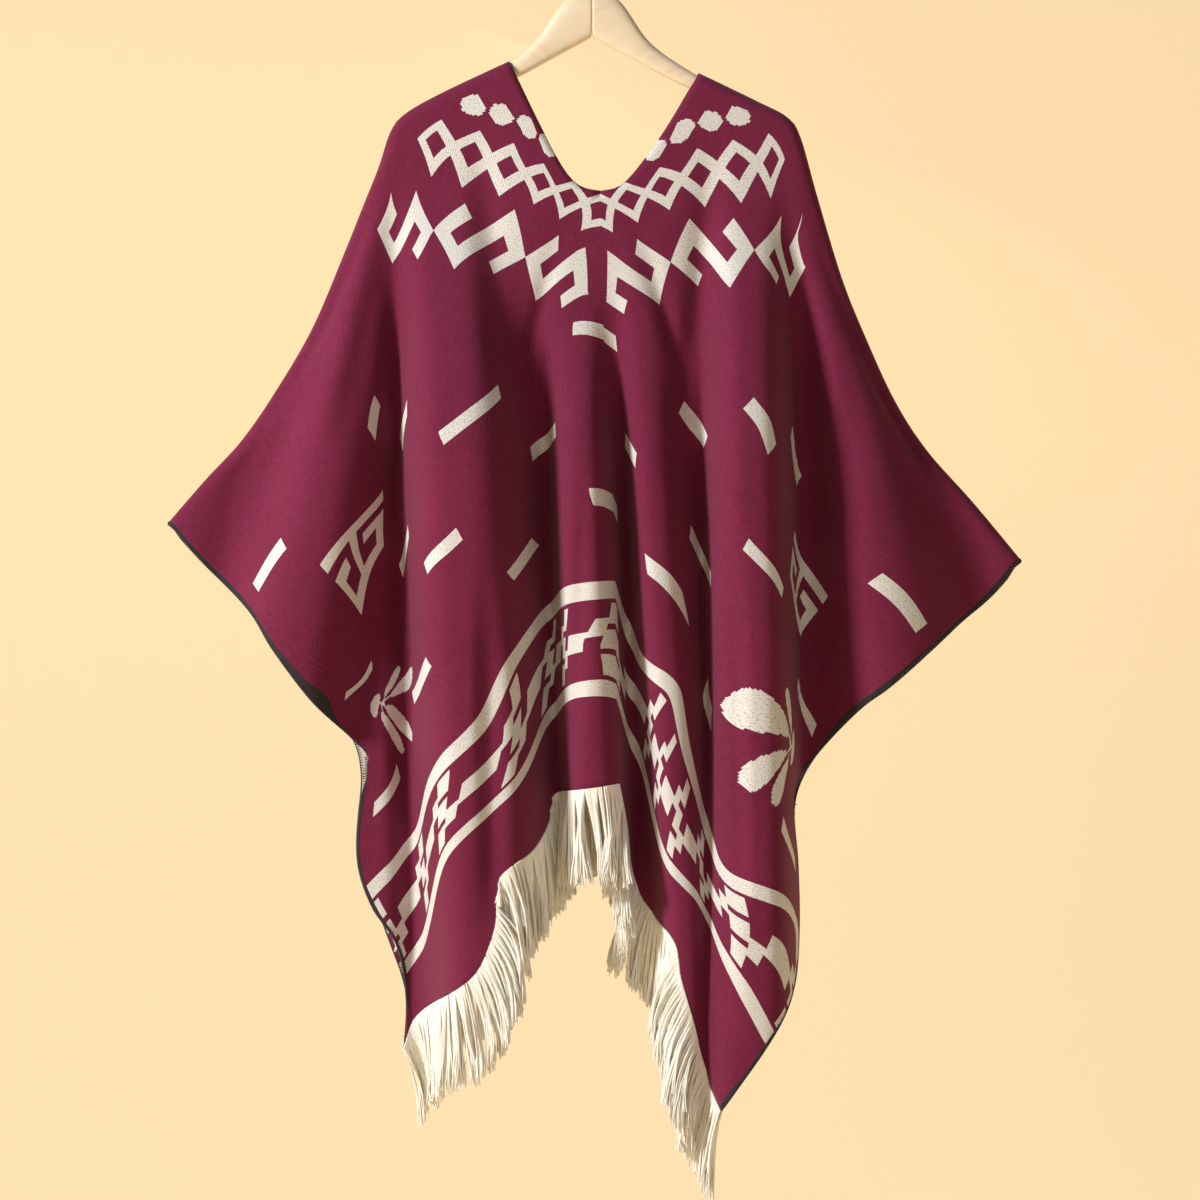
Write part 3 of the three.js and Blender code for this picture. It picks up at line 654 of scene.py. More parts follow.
    def settle(self, folds: FoldSet, flat: np.ndarray, net: np.ndarray, steps: int) -> None:
        """Moves the free nodes over the draped surface until warp and weft keep their length.

        Args:
            folds: the folds that shape the surface.
            flat: the flat place of each node.
            net: the hung place of each node, changed in place.
            steps: how many times every node moves.
        """
        around = [(0, 1), (0, -1), (1, 0), (-1, 0), (1, 1), (1, -1), (-1, 1), (-1, -1)]
        rows, columns = net.shape[0], net.shape[1]
        inner = (slice(1, -1), slice(1, -1))
        links = []
        for dr, dc in around:
            near = (slice(1 + dr, rows - 1 + dr), slice(1 + dc, columns - 1 + dc))
            rest = np.linalg.norm(flat[near] - flat[inner], axis=-1)
            links.append((near, rest, 1.0 if dr * dc == 0 else self.shear_stiffness))
        weight = sum(pull for _, _, pull in links)
        for _ in range(steps):
            x, z = net[..., 0], net[..., 1]
            depth, slope_x, slope_z = self.surface(folds, x, z)
            solid = np.stack([x, depth, z], axis=-1)
            push = np.zeros_like(solid[inner])
            for near, rest, pull in links:
                span = solid[near] - solid[inner]
                now = np.maximum(np.linalg.norm(span, axis=-1), MM)
                push += (pull * (now - rest) / now)[..., None] * span
            slope_x, slope_z = slope_x[inner], slope_z[inner]
            gx = (push[..., 0] + slope_x * push[..., 1]) / weight
            gz = (push[..., 2] + slope_z * push[..., 1]) / weight
            a, b, d = 1 + slope_x**2, slope_x * slope_z, 1 + slope_z**2
            det = a * d - b * b
            net[inner][..., 0] += self.settle_rate * (d * gx - b * gz) / det
            net[inner][..., 1] += self.settle_rate * (a * gz - b * gx) / det

    def arc_across(self, folds: FoldSet, place: np.ndarray) -> np.ndarray:
        """Each place's distance from the centre line measured over the folds, beside its height.

        Args:
            folds: the folds that shape the surface.
            place: the x and z of each place.

        Returns:
            The distance across and the height of each place, as multiples of chart_scale.
        """
        grid_x, grid_z = np.meshgrid(self.table_x, self.table_z)
        rise = np.diff(self.depth(folds, grid_x, grid_z), axis=1)
        steps = np.hypot(self.table_step, rise)
        run = np.concatenate([np.zeros((len(grid_x), 1)), np.cumsum(steps, axis=1)], axis=1)
        run -= run[:, [int(np.argmin(np.abs(self.table_x)))]]
        across = self.read_table(run, place[..., 0], place[..., 1])
        return np.stack([across, place[..., 1]], axis=-1) / self.chart_scale

    def chart(self, folds: FoldSet, flat: np.ndarray, net: np.ndarray,
              landmarks: Sequence[Landmark]) -> np.ndarray:
        """The flat place of each node as the pattern is woven, smooth between the landmarks and edges.

        Args:
            folds: the folds that shape the surface.
            flat: the flat place of each node.
            net: the hung place of each node.
            landmarks: places on the cloth, and where they hang.

        Returns:
            The charted flat place of each node.
        """
        if not landmarks:
            return flat
        rim = np.zeros(flat.shape[:2], bool)
        rim[:, [0, -1]] = True
        rim[[0, -1]] = True
        rows, columns = np.nonzero(rim)
        kept = (rows % self.chart_knot_step == 0) & (columns % self.chart_knot_step == 0)
        rows, columns = rows[kept], columns[kept]
        wanted = np.vstack([[(m.u, m.v) for m in landmarks], flat[rows, columns]])
        hung = np.vstack([[(m.x, m.z) for m in landmarks], net[rows, columns]])
        knots = self.arc_across(folds, hung)

        def pull(places: np.ndarray) -> np.ndarray:
            """How strongly each knot acts at each place."""
            apart = np.linalg.norm(places[:, None] - knots[None], axis=-1)
            return np.where(apart > 0, apart**2 * np.log(np.maximum(apart, MM)), 0.0)

        def plane(places: np.ndarray) -> np.ndarray:
            """The terms of a flat chart at each place."""
            return np.column_stack([np.ones(len(places)), places])

        corner = np.zeros((3, 3))
        slack = self.chart_slack * np.eye(len(knots))
        left = np.block([[pull(knots) + slack, plane(knots)], [plane(knots).T, corner]])
        gains = np.linalg.solve(left, np.vstack([wanted, np.zeros((3, 2))]))
        places = self.arc_across(folds, net).reshape(-1, 2)
        woven = pull(places) @ gains[:-3] + plane(places) @ gains[-3:]
        return woven.reshape(flat.shape)

    def surface(self, folds: FoldSet, x: np.ndarray, z: np.ndarray) -> tuple[np.ndarray, ...]:
        """The draped surface at each place.

        Args:
            folds: the folds that shape it.
            x: places across, in millimetres.
            z: places up, in millimetres.

        Returns:
            Its depth, and its slopes across and up.
        """
        step = self.slope_step
        depth = self.depth(folds, np.stack([x, x + step, x]), np.stack([z, z, z + step]))
        return depth[0], (depth[1] - depth[0]) / step, (depth[2] - depth[0]) / step

    def creased_depth(self, panel: PanelShape, net: np.ndarray) -> np.ndarray:
        """How far a half panel's nodes stand out, creases included, evened out a little.

        Args:
            panel: the panel.
            net: the hung place of each node.

        Returns:
            The depth of each node, in millimetres.
        """
        depth = self.depth(FoldSet(panel.folds + panel.creases), net[..., 0], net[..., 1])
        depth[0] = self.fold_radius
        for _ in range(self.even_passes):
            soften(depth, 1)
            for edge in (0, -1):
                mean = (depth[:-2, edge] + depth[2:, edge]) / 2
                depth[1:-1, edge] = (depth[1:-1, edge] + mean) / 2
        return depth

    def fine_half(self, panel: PanelShape, half: Half, columns: int, rows: int) -> np.ndarray:
        """A half panel divided finely enough to show.

        Args:
            panel: the panel.
            half: which half of it.
            columns: divisions across.
            rows: divisions down, below the round of the shoulder.

        Returns:
            Rows from the fold to the hem, each from the side edge to the middle, of x, y, z, u, v.
        """
        drops, shares, coarse = self.hang_half(panel, half)
        fine_shares = np.linspace(0.0, 1.0, columns + 1)
        neck_rows = round(rows * (CUT.neck_drop - self.arc_drop) / (CUT.drop - self.arc_drop))
        fine_drops = np.concatenate([
            np.linspace(self.arc_drop, CUT.neck_drop, neck_rows + 1)[:-1],
            np.linspace(CUT.neck_drop, CUT.drop, rows - neck_rows + 1),
        ])
        wide = resample(coarse.reshape(len(drops), -1), drops, fine_drops)
        wide = wide.reshape(len(fine_drops), len(shares), 2)
        net = resample(wide.swapaxes(0, 1).reshape(len(shares), -1), shares, fine_shares)
        net = net.reshape(columns + 1, len(fine_drops), 2).swapaxes(0, 1)
        flat = flat_places(fine_drops, fine_shares)
        self.pin_edges(panel, half, fine_drops, fine_shares, net)
        soften(net, self.fine_passes)
        chart = self.chart(FoldSet(panel.folds), flat, net, panel.landmarks.get(half, ()))
        depth = self.creased_depth(panel, net)
        at, down = self.ridge_frame(half, fine_shares)
        turns = np.linspace(0.0, math.pi / 2, self.arc_rows + 1)[:-1]
        arc = np.array([at + down * self.fold_radius * (1 - math.cos(turn)) for turn in turns])
        arc_depth = np.array([[self.fold_radius * math.sin(turn)] * (columns + 1) for turn in turns])
        net = np.concatenate([arc, net])
        depth = np.concatenate([arc_depth, depth])
        chart = np.concatenate([flat_places(turns * self.fold_radius, fine_shares), chart])
        sign = -1.0 if half is Half.LEFT else 1.0
        return np.stack([
            net[..., 0], panel.facing.value * depth, net[..., 1], sign * chart[..., 0], chart[..., 1],
        ], axis=-1)


class Value:
    """A shader number that can be used in Python arithmetic."""

    def __init__(self, graph: "Graph", socket: bpy.types.NodeSocket) -> None:
        """Wraps one output socket of a graph."""
        self.graph = graph
        self.socket = socket

    def _with(self, operation: str, *others: "Value | float") -> "Value":
        """This number and others through one Math node."""
        return self.graph.math(operation, self, *others)

    def __add__(self, other: "Value | float") -> "Value":
        """Sum."""
        return self._with("ADD", other)

    __radd__ = __add__

    def __sub__(self, other: "Value | float") -> "Value":
        """Difference."""
        return self._with("SUBTRACT", other)

    def __rsub__(self, other: float) -> "Value":
        """Difference from a plain number."""
        return self.graph.math("SUBTRACT", other, self)

    def __mul__(self, other: "Value | float") -> "Value":
        """Product."""
        return self._with("MULTIPLY", other)

    __rmul__ = __mul__

    def __truediv__(self, other: "Value | float") -> "Value":
        """Quotient."""
        return self._with("DIVIDE", other)

    def __mod__(self, other: "Value | float") -> "Value":
        """Remainder that is never negative."""
        return self._with("FLOORED_MODULO", other)

    def __lt__(self, other: "Value | float") -> "Value":
        """1 where this is less."""
        return self._with("LESS_THAN", other)

    def __gt__(self, other: "Value | float") -> "Value":
        """1 where this is greater."""
        return self._with("GREATER_THAN", other)

    def __abs__(self) -> "Value":
        """Size without sign."""
        return self._with("ABSOLUTE")

    def floor(self) -> "Value":
        """The whole number below."""
        return self._with("FLOOR")

    def round(self) -> "Value":
        """The nearest whole number."""
        return self._with("ROUND")

    def sine(self) -> "Value":
        """Sine of radians."""
        return self._with("SINE")

    def larger(self, other: "Value | float") -> "Value":
        """The larger of two."""
        return self._with("MAXIMUM", other)

    def smaller(self, other: "Value | float") -> "Value":
        """The smaller of two."""
        return self._with("MINIMUM", other)

    def within(self, low: float, high: float) -> "Value":
        """1 where this lies between two numbers."""
        return abs(self - (low + high) / 2) < (high - low) / 2


class Graph:
    """A material's node graph."""

    def __init__(self, name: str) -> None:
        """Starts an empty material.

        Args:
            name: the material's name.
        """
        self.material = bpy.data.materials.new(name)
        self.material.use_nodes = True
        self.tree = self.material.node_tree
        self.tree.nodes.clear()

    def node(self, kind: str, settings: dict | None = None,
             inputs: dict | None = None) -> bpy.types.Node:
        """Adds one node.

        Args:
            kind: the node's type.
            settings: its own properties, set first.
            inputs: values, links or Value objects for its sockets, by name or number.

        Returns:
            The node.
        """
        made = self.tree.nodes.new(kind)
        for key, value in (settings or {}).items():
            if key == "stops":
                self._set_stops(made, value)
            else:
                setattr(made, key, value)
        for key, value in (inputs or {}).items():
            if isinstance(value, Value):
                value = value.socket
            if isinstance(value, bpy.types.NodeSocket):
                self.tree.links.new(value, made.inputs[key])
            else:
                made.inputs[key].default_value = value
        return made

    @staticmethod
    def _set_stops(made: bpy.types.Node, stops: Sequence[tuple[float, tuple]]) -> None:
        """Gives a ramp its stops.

        Args:
            made: the ramp's node.
            stops: places from 0 to 1, each with its colour.
        """
        ramp = made.color_ramp
        while len(ramp.elements) < len(stops):
            ramp.elements.new(1.0)
        for element, (place, colour) in zip(ramp.elements, stops):
            element.position = place
            element.color = (*colour, 1.0)

    def math(self, operation: str, *values: Value | float) -> Value:
        """One Math node over numbers or Values."""
        made = self.node("ShaderNodeMath", {"operation": operation}, dict(enumerate(values)))
        return Value(self, made.outputs[0])

    def mix(self, factor: Value | float, low: object, high: object) -> bpy.types.NodeSocket:
        """One Mix node over colours.

        Args:
            factor: how much of the second colour.
            low: the first colour, as a tuple or a socket.
            high: the second colour.

        Returns:
            The colour socket.
        """
        inputs = {0: factor, 6: low, 7: high}
        return self.node("ShaderNodeMix", {"data_type": "RGBA"}, inputs).outputs[2]

    def noise(self, vector: bpy.types.NodeSocket, scale: float, detail: float = 2.0) -> Value:
        """Fractal noise from 0 to 1.

        Args:
            vector: where it is read.
            scale: how fine it is, per metre.
            detail: octaves.

        Returns:
            The noise.
        """
        inputs = {"Vector": vector, "Scale": scale, "Detail": detail}
        return Value(self, self.node("ShaderNodeTexNoise", None, inputs).outputs[0])

    def bump(self, height: Value, distance: float, strength: float = 1.0) -> bpy.types.NodeSocket:
        """A normal from a height in units of distance, in metres."""
        inputs = {"Height": height, "Distance": distance, "Strength": strength}
        return self.node("ShaderNodeBump", None, inputs).outputs[0]

    def finish(self, **inputs: object) -> bpy.types.Material:
        """Closes the graph with one Principled shader.

        Args:
            inputs: its sockets, with underscores for the spaces in their names.

        Returns:
            The material.
        """
        named = {key.replace("_", " "): value for key, value in inputs.items()}
        shader = self.node("ShaderNodeBsdfPrincipled", None, named)
        self.node("ShaderNodeOutputMaterial", None, {"Surface": shader.outputs[0]})
        return self.material


@dataclass(frozen=True)
class WovenPattern:
    """The cream ornament woven into the cloth, in millimetres of the flat cut.

    across and v are where it is read: from the centre line, and from the shoulder fold. A bar is its
    span across and its span down, and a motif's bars are counted from the motif's own corner.
    """

    u: Value
    across: Value
    v: Value
    dot_start: Span = (18.5, 95.5)
    dot_radius: float = 12.6
    dot_step: float = 20.5
    last_dot: float = 3.0
    square_step: float = 27.0
    square_ring: Span = (9.0, 18.0)
    square_start: float = 187.0
    last_square: float = 5.0
    hook_side: float = 82.0
    hook_start: Span = (9.0, 193.0)
    hook_jog: Span = (39.0, 43.0)
    hook_leg: float = 65.6
    last_hook: float = 2.0
    dash: Span = (30.0, 8.0)
    lattice: Span = (100.0, 167.0)
    dash_start: Span = (142.0, 83.5)
    dash_rows: Span = (130.0, 500.0)
    dash_clearing: Span = (50.0, 300.0)
    plain_column: float = 5.0
    key_corner: Span = (500.0, 192.0)
    key_bars: tuple[tuple[Span, Span], ...] = (
        ((-1, 47.5), (0, 12)), ((-1, 6), (0, 54)), ((-1, 47.5), (54, 67)), ((35, 47.5), (23, 67)),
        ((14.5, 47.5), (23, 36)),
    )
    flower_centre: Span = (500.0, 440.0)
    petal_turn: float = 2 * math.pi / 5
    petal_middle: Span = (34.0, 12.0)
    petal_reach: Span = (21.0, 9.0)
    petal_half_width: float = 15.5
    petal_flare: float = 0.012
    stamen: Span = (1.6, 30.0)
    border_shift: float = 11.0
    border_period: float = 108.0
    border_stripes: tuple[Span, ...] = ((552, 568), (652, 667))
    border_bars: tuple[tuple[Span, Span], ...] = (
        ((0, 22), (573, 593)), ((0, 22), (600, 620)), ((0, 22), (627, 647)),
        ((22, 40), (613.5, 633.5)), ((40, 90), (600, 620)), ((90, 108), (586.5, 606.5)),
    )

    @staticmethod
    def union(parts: Sequence[Value]) -> Value:
        """1 inside any of the parts.

        Args:
            parts: masks.

        Returns:
            The mask of them all.
        """
        total = parts[0]
        for part in parts[1:]:
            total = total.larger(part)
        return total

    def bars(self, x: Value, y: Value, spans: Sequence[tuple[Span, Span]]) -> Value:
        """1 inside any of a motif's bars."""
        return self.union([x.within(*wide) * y.within(*tall) for wide, tall in spans])

    def dots(self) -> Value:
        """Draws the row of dots that follows the neck edge.

        Returns:
            Its mask.
        """
        x, y = self.across - self.dot_start[0], self.v - self.dot_start[1]
        nearest = (x / self.dot_step).round().larger(0.0).smaller(self.last_dot)
        dx, dy = x - nearest * self.dot_step, y + nearest * self.dot_step
        return (dx * dx + dy * dy) < self.dot_radius**2

    def squares(self) -> Value:
        """Draws the chain of interlocked open squares.

        Returns:
            Its mask.
        """
        rings = []
        for offset in (0.0, 1.0):
            step = (self.across / self.square_step).floor() + offset
            run = step.larger(0.0).smaller(self.last_square) * self.square_step
            reach = abs(self.across - run).larger(abs(self.v - self.square_start + run))
            rings.append(reach.within(*self.square_ring))
        return self.union(rings)

    def hooks(self) -> Value:
        """Draws the three stepped hooks on each side.

        Returns:
            Their mask.
        """
        side, row = self.hook_side, self.hook_side / 5
        x, y = self.across - self.hook_start[0], self.v - self.hook_start[1]
        run = (x / side).floor().larger(0.0).smaller(self.last_hook) * side
        return self.bars(x - run, y + run, [
            ((self.hook_jog[0], side), (0, row)),
            ((self.hook_leg, side), (0, 3 * row)),
            ((0, side), (2 * row, 3 * row)),
            ((0, row), (2 * row, 5 * row)),
            ((0, self.hook_jog[1]), (4 * row, 5 * row)),
        ])

    def dashes(self) -> Value:
        """Draws the half-drop scatter of dashes.

        Returns:
            Its mask.
        """
        column = (self.across / self.lattice[0]).round()
        x = self.across - column * self.lattice[0]
        start = self.dash_start[0] + column % 2.0 * self.dash_start[1]
        middle = start + ((self.v - start) / self.lattice[1]).round() * self.lattice[1]
        long, wide = self.dash
        dash = self.bars(x, self.v - middle, [((-long, long), (-wide, wide))])
        clear = (middle + column * self.dash_clearing[0]) > self.dash_clearing[1]
        return dash * clear * middle.within(*self.dash_rows) * (abs(column - self.plain_column) > 0.5)

    def key(self) -> Value:
        """The key motif beside each side edge."""
        x, y = abs(self.across - self.key_corner[0]), self.v - self.key_corner[1]
        return self.bars(x, y, self.key_bars)

    def flower(self) -> Value:
        """Draws the five-petalled flower under the key, whose first petal is the longest.

        Returns:
            Its mask.
        """
        x, y = self.across - self.flower_centre[0], self.v - self.flower_centre[1]
        angle = x.graph.math("ARCTAN2", y, 0.0 - x)
        sector = (angle / self.petal_turn).round()
        turned = angle - sector * self.petal_turn
        first = abs(sector) < 0.5
        radius = x.graph.math("SQRT", x * x + y * y)
        middle, further = self.petal_middle
        along = radius * x.graph.math("COSINE", turned) - middle - first * further
        offset = radius * turned.sine()
        aside = offset / (1.0 + along * self.petal_flare)
        reach = self.petal_reach[0] + first * self.petal_reach[1]
        petal = (along * along / (reach * reach) + aside * aside / self.petal_half_width**2) < 1.0
        half_width, length = self.stamen
        return petal.larger((abs(offset) < half_width) * (radius < length))

    def border(self) -> Value:
        """Draws the stepped border between two stripes.

        Returns:
            Its mask.
        """
        x = (self.u + self.border_shift) % self.border_period
        stripes = [self.v.within(*stripe) for stripe in self.border_stripes]
        return self.union([self.bars(x, self.v, self.border_bars), *stripes])

    def mask(self) -> Value:
        """Puts all the ornament together.

        Returns:
            1 where the cream shows on the face.
        """
        return self.union([
            self.dots(), self.squares(), self.hooks(), self.dashes(), self.key(), self.flower(),
            self.border(),
        ])


@dataclass(frozen=True)
class JacquardCloth:
    """Brushed burgundy double cloth with the cream ornament; the reverse shows it the other way."""

    name: str
    reverse: bool = False
    burgundy: Colour = (0.145, 0.0108, 0.040, 1.0)
    burgundy_nap: Colour = (0.215, 0.022, 0.068, 1.0)
    cream: Colour = (0.74, 0.715, 0.67, 1.0)
    cream_fleck: Colour = (0.30, 0.24, 0.235, 1.0)
    edge: Colour = (0.035, 0.028, 0.032, 1.0)
    edge_width: float = 4.5
    pick: float = 2.1
    twill_pitch: float = 3.1
    neck_stitches: Span = (7.0, 8.6)
    relief: float = 0.00022

    def make(self) -> bpy.types.Material:
        """Builds the material from the cut's own UV map.

        Returns:
            The material.
        """
        g = Graph(self.name)
        cut = g.node("ShaderNodeUVMap", {"uv_map": "cut"}).outputs[0]
        parts = g.node("ShaderNodeSeparateXYZ", None, {0: cut})
        u = Value(g, parts.outputs[0]) / MM
        v = abs(Value(g, parts.outputs[1]) / MM)
        whole_u, whole_v = [(place / self.pick).round() * self.pick for place in (u, v)]
        shown = WovenPattern(whole_u, abs(whole_u), whole_v).mask()
        if self.reverse:
            shown = 1.0 - shown
        twill = ((u + v) * (2 * math.pi / self.twill_pitch)).sine()
        picks = (v * (2 * math.pi / self.pick)).sine()
        fine = g.noise(cut, 900.0, 2.0)
        fleck = g.noise(cut, 620.0, 3.0)
        cloud = g.noise(cut, 9.0, 3.0)
        stretch = g.node("ShaderNodeMapping", None, {"Vector": cut, "Scale": (520.0, 90.0, 1.0)})
        nap = g.noise(stretch.outputs[0], 1.0, 3.0)
        nap_share = ((nap - 0.5) * 1.5 + (cloud - 0.5) * 0.7 + 0.34).larger(0.0).smaller(1.0)
        ground = g.mix(nap_share, self.burgundy, self.burgundy_nap)
        speck = ((fleck - 0.52) * 5.0 + twill * 0.22).larger(0.0).smaller(1.0) * 0.8
        light = g.mix(speck, self.cream, self.cream_fleck)
        colour = g.mix(shown, ground, light)
        side = abs(u) > (CUT.half_width - self.edge_width)
        colour = g.mix(side, colour, self.edge)
        slit_edge = abs(u) - (1.0 - v / CUT.neck_drop) * CUT.neck_half_width
        hem_line = slit_edge.within(*self.neck_stitches) * (v < CUT.neck_drop)
        height = twill * 0.35 + picks * 0.2 + (fine - 0.5) * 1.4 + shown * 0.8 - hem_line * 1.5
        return g.finish(
            Base_Color=colour,
            Roughness=0.92,
            Sheen_Weight=0.14,
            Sheen_Roughness=0.45,
            Sheen_Tint=(1.0, 0.72, 0.8, 1.0),
            Specular_IOR_Level=0.18,
            Normal=g.bump(height, self.relief, 0.8),
        )


@dataclass(frozen=True)
class Yarn:
    """Soft twisted yarn in one colour, with painted shade for its hollows in darker streaks and
    clouds.
    """

    name: str
    light: Colour
    # The darker colour is painted shade for the hollows of the twist, not a second dye.
    deep: Colour

    def make(self) -> bpy.types.Material:
        """Builds the material on object coordinates.

        Returns:
            The material.
        """
        g = Graph(self.name)
        place = g.node("ShaderNodeTexCoord").outputs["Object"]
        stretch = g.node("ShaderNodeMapping", None, {"Vector": place, "Scale": (1.0, 1.0, 0.12)})
        shade_streak = g.noise(stretch.outputs[0], 260.0, 3.0)
        cloud = g.noise(place, 35.0, 2.0)
        # share mixes in the painted shade: darker streaks along the strand and clouds that stand for
        # the shade in the yarn's hollows.
        share = ((shade_streak - 0.5) * 1.8 + (cloud - 0.5) * 0.9 + 0.4).larger(0.0).smaller(1.0)
        colour = g.mix(share, self.light, self.deep)
        fibre = g.noise(place, 2600.0, 2.0)
        return g.finish(
            Base_Color=colour,
            Roughness=0.85,
            Sheen_Weight=0.3,
            Sheen_Roughness=0.5,
            Specular_IOR_Level=0.2,
            Normal=g.bump(fibre, 0.0003, 0.7),
        )


@dataclass(frozen=True)
class Birch:
    """Pale lacquered birch with a fine straight grain along the arm."""

    name: str
    slope: float
    pale: Colour = (0.86, 0.70, 0.50, 1.0)
    dark: Colour = (0.70, 0.50, 0.32, 1.0)

    def make(self) -> bpy.types.Material:
        """Builds the material on object coordinates turned along the arm.

        Returns:
            The material.
        """
        g = Graph(self.name)
        place = g.node("ShaderNodeTexCoord").outputs["Object"]
        turned = g.node("ShaderNodeMapping", None, {
            "Vector": place, "Rotation": (0.0, self.slope, 0.0)}).outputs[0]
        along = g.node("ShaderNodeMapping", None, {"Vector": turned, "Scale": (3.0, 60.0, 60.0)})
        grain = g.noise(along.outputs[0], 3.2, 4.0)
        fine = g.node("ShaderNodeMapping", None, {"Vector": turned, "Scale": (12.0, 520.0, 520.0)})
        pores = g.noise(fine.outputs[0], 2.0, 2.0)
        share = ((grain - 0.45) * 1.5 + (pores - 0.5) * 0.5).larger(0.0).smaller(1.0)
        colour = g.mix(share, self.pale, self.dark)
        return g.finish(
            Base_Color=colour,
            Roughness=0.38 + pores * 0.12,
            Coat_Weight=0.25,
            Coat_Roughness=0.25,
            Normal=g.bump(pores, 0.00008, 0.5),
        )


@dataclass(frozen=True)
class BrightWire:
    """Bright drawn steel wire."""

    name: str = "bright_wire"
    steel: Colour = (0.62, 0.62, 0.63, 1.0)

    def make(self) -> bpy.types.Material:
        """Builds the material with faint drawing lines.

        Returns:
            The material.
        """
        g = Graph(self.name)
        place = g.node("ShaderNodeTexCoord").outputs["Object"]
        lines = g.noise(place, 420.0, 3.0)
        return g.finish(
            Base_Color=self.steel,
            Metallic=1.0,
            Roughness=0.22 + lines * 0.16,
            Normal=g.bump(lines, 0.00005, 0.4),
        )


def finished(mesh: bpy.types.Mesh, name: str, materials: Sequence[bpy.types.Material],
             nodes: Sequence[str]) -> bpy.types.Object:
    """Puts a mesh in the scene as a piece of the root body.

    Args:
        mesh: the piece's mesh, in place.
        name: the piece's name.
        materials: its materials.
        nodes: the CAD nodes that it stands for.

    Returns:
        The object.
    """
    piece = bpy.data.objects.new(name, mesh)
    bpy.context.scene.collection.objects.link(piece)
    for material in materials:
        mesh.materials.append(material)
    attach(piece, "root")
    if nodes:
        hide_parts(*nodes)
    LOG.info("%s: %d faces", name, len(mesh.polygons))
    return piece


@dataclass
class Cloth:
    """The woven rectangle, hung: one sheet over both panels, with the neck slit open."""

    drape: Drape
    columns: int = 84
    rows: int = 98
    seam_reach: float = 0.02
    nets: dict[Facing, HungNet] = field(default_factory=dict)

    def hang(self) -> None:
        """Hangs both panels and keeps their nets for the trims."""
        for panel in (FRONT, BACK):
            left = self.drape.fine_half(panel, Half.LEFT, self.columns, self.rows)
            right = self.drape.fine_half(panel, Half.RIGHT, self.columns, self.rows)[:, ::-1]
            whole = np.concatenate([left, right], axis=1)
            self.nets[panel.facing] = HungNet(whole[..., :3], whole[..., 3:], self.columns)

    def half_sheet(self, half: Half) -> bmesh.types.BMesh:
        """A half of the sheet from the front hem over the shoulder to the back hem.

        Args:
            half: which half.

        Returns:
            A mesh whose vertices lie in place, with the flat cut as its UV map.
        """
        span = slice(0, self.columns + 1) if half is Half.LEFT else slice(self.columns + 1, None)
        front, back = self.nets[Facing.FRONT], self.nets[Facing.BACK]
        place = np.concatenate([front.place[::-1, span], back.place[1:, span]])
        flat = np.concatenate([front.flat[::-1, span] * (1, -1), back.flat[1:, span]])
        rows, columns = place.shape[0], place.shape[1]
        sheet = bmesh.new()
        bmesh.ops.create_grid(sheet, x_segments=columns - 1, y_segments=rows - 1, size=1.0)
        cut = sheet.loops.layers.uv.new("cut")
        for vertex in sheet.verts:
            column = round((vertex.co.x + 1) / 2 * (columns - 1))
            row = round((vertex.co.y + 1) / 2 * (rows - 1))
            for loop in vertex.link_loops:
                loop[cut].uv = flat[row, column] * MM
            vertex.co = Vector(place[row, column] * MM)
        return sheet

    def build(self) -> bpy.types.Object:
        """Joins the halves below the slit and gives the sheet its thickness.

        Returns:
            The sheet.
        """
        mesh = bpy.data.meshes.new("cloth")
        whole = bmesh.new()
        for half in Half:
            part = self.half_sheet(half)
            part.to_mesh(mesh)
            part.free()
            whole.from_mesh(mesh)
        bmesh.ops.remove_doubles(whole, verts=list(whole.verts), dist=self.seam_reach * MM)
        whole.normal_update()
        outward = sum(
            face.normal.y * face.calc_area() * math.copysign(1.0, face.calc_center_median().y)
            for face in whole.faces
        )
        if outward < 0:
            bmesh.ops.reverse_faces(whole, faces=list(whole.faces))
        for face in whole.faces:
            face.smooth = True
        whole.to_mesh(mesh)
        whole.free()
        finishes = [
            JacquardCloth("jacquard_face").make(),
            JacquardCloth("jacquard_reverse", reverse=True).make(),
        ]
        piece = finished(mesh, "cape_cloth", finishes, ("front_panel", "back_panel"))
        wall = piece.modifiers.new("wall", "SOLIDIFY")
        wall.thickness = CUT.thickness * MM
        wall.offset = 0.0
        wall.use_even_offset = False
        wall.material_offset = 1
        return piece


@dataclass(frozen=True)
class HemFrame:
    """Places along a hem, with the way on past it and the way out of the cloth."""

    place: np.ndarray
    on: np.ndarray
    out: np.ndarray


def hem_frame(net: HungNet, facing: Facing) -> HemFrame:
    """The frame of a panel's hem, from the left corner to the right.

    Args:
        net: the panel's hung net.
        facing: which way the panel faces.

    Returns:
        The frame, in millimetres.
    """
    keep = [c for c in range(net.place.shape[1]) if c != net.left_slit + 1]
    hem, before = net.place[-1, keep], net.place[-3, keep]
    along = unit(np.gradient(hem, axis=0))
    down = hem - before
    out = unit(np.cross(along, down))
    out *= np.where(out[:, 1:2] * facing.value < 0, -1.0, 1.0)
    on = unit(np.cross(along, out))
    on *= np.where((on * down).sum(1, keepdims=True) < 0, -1.0, 1.0)
    return HemFrame(hem, on, out)


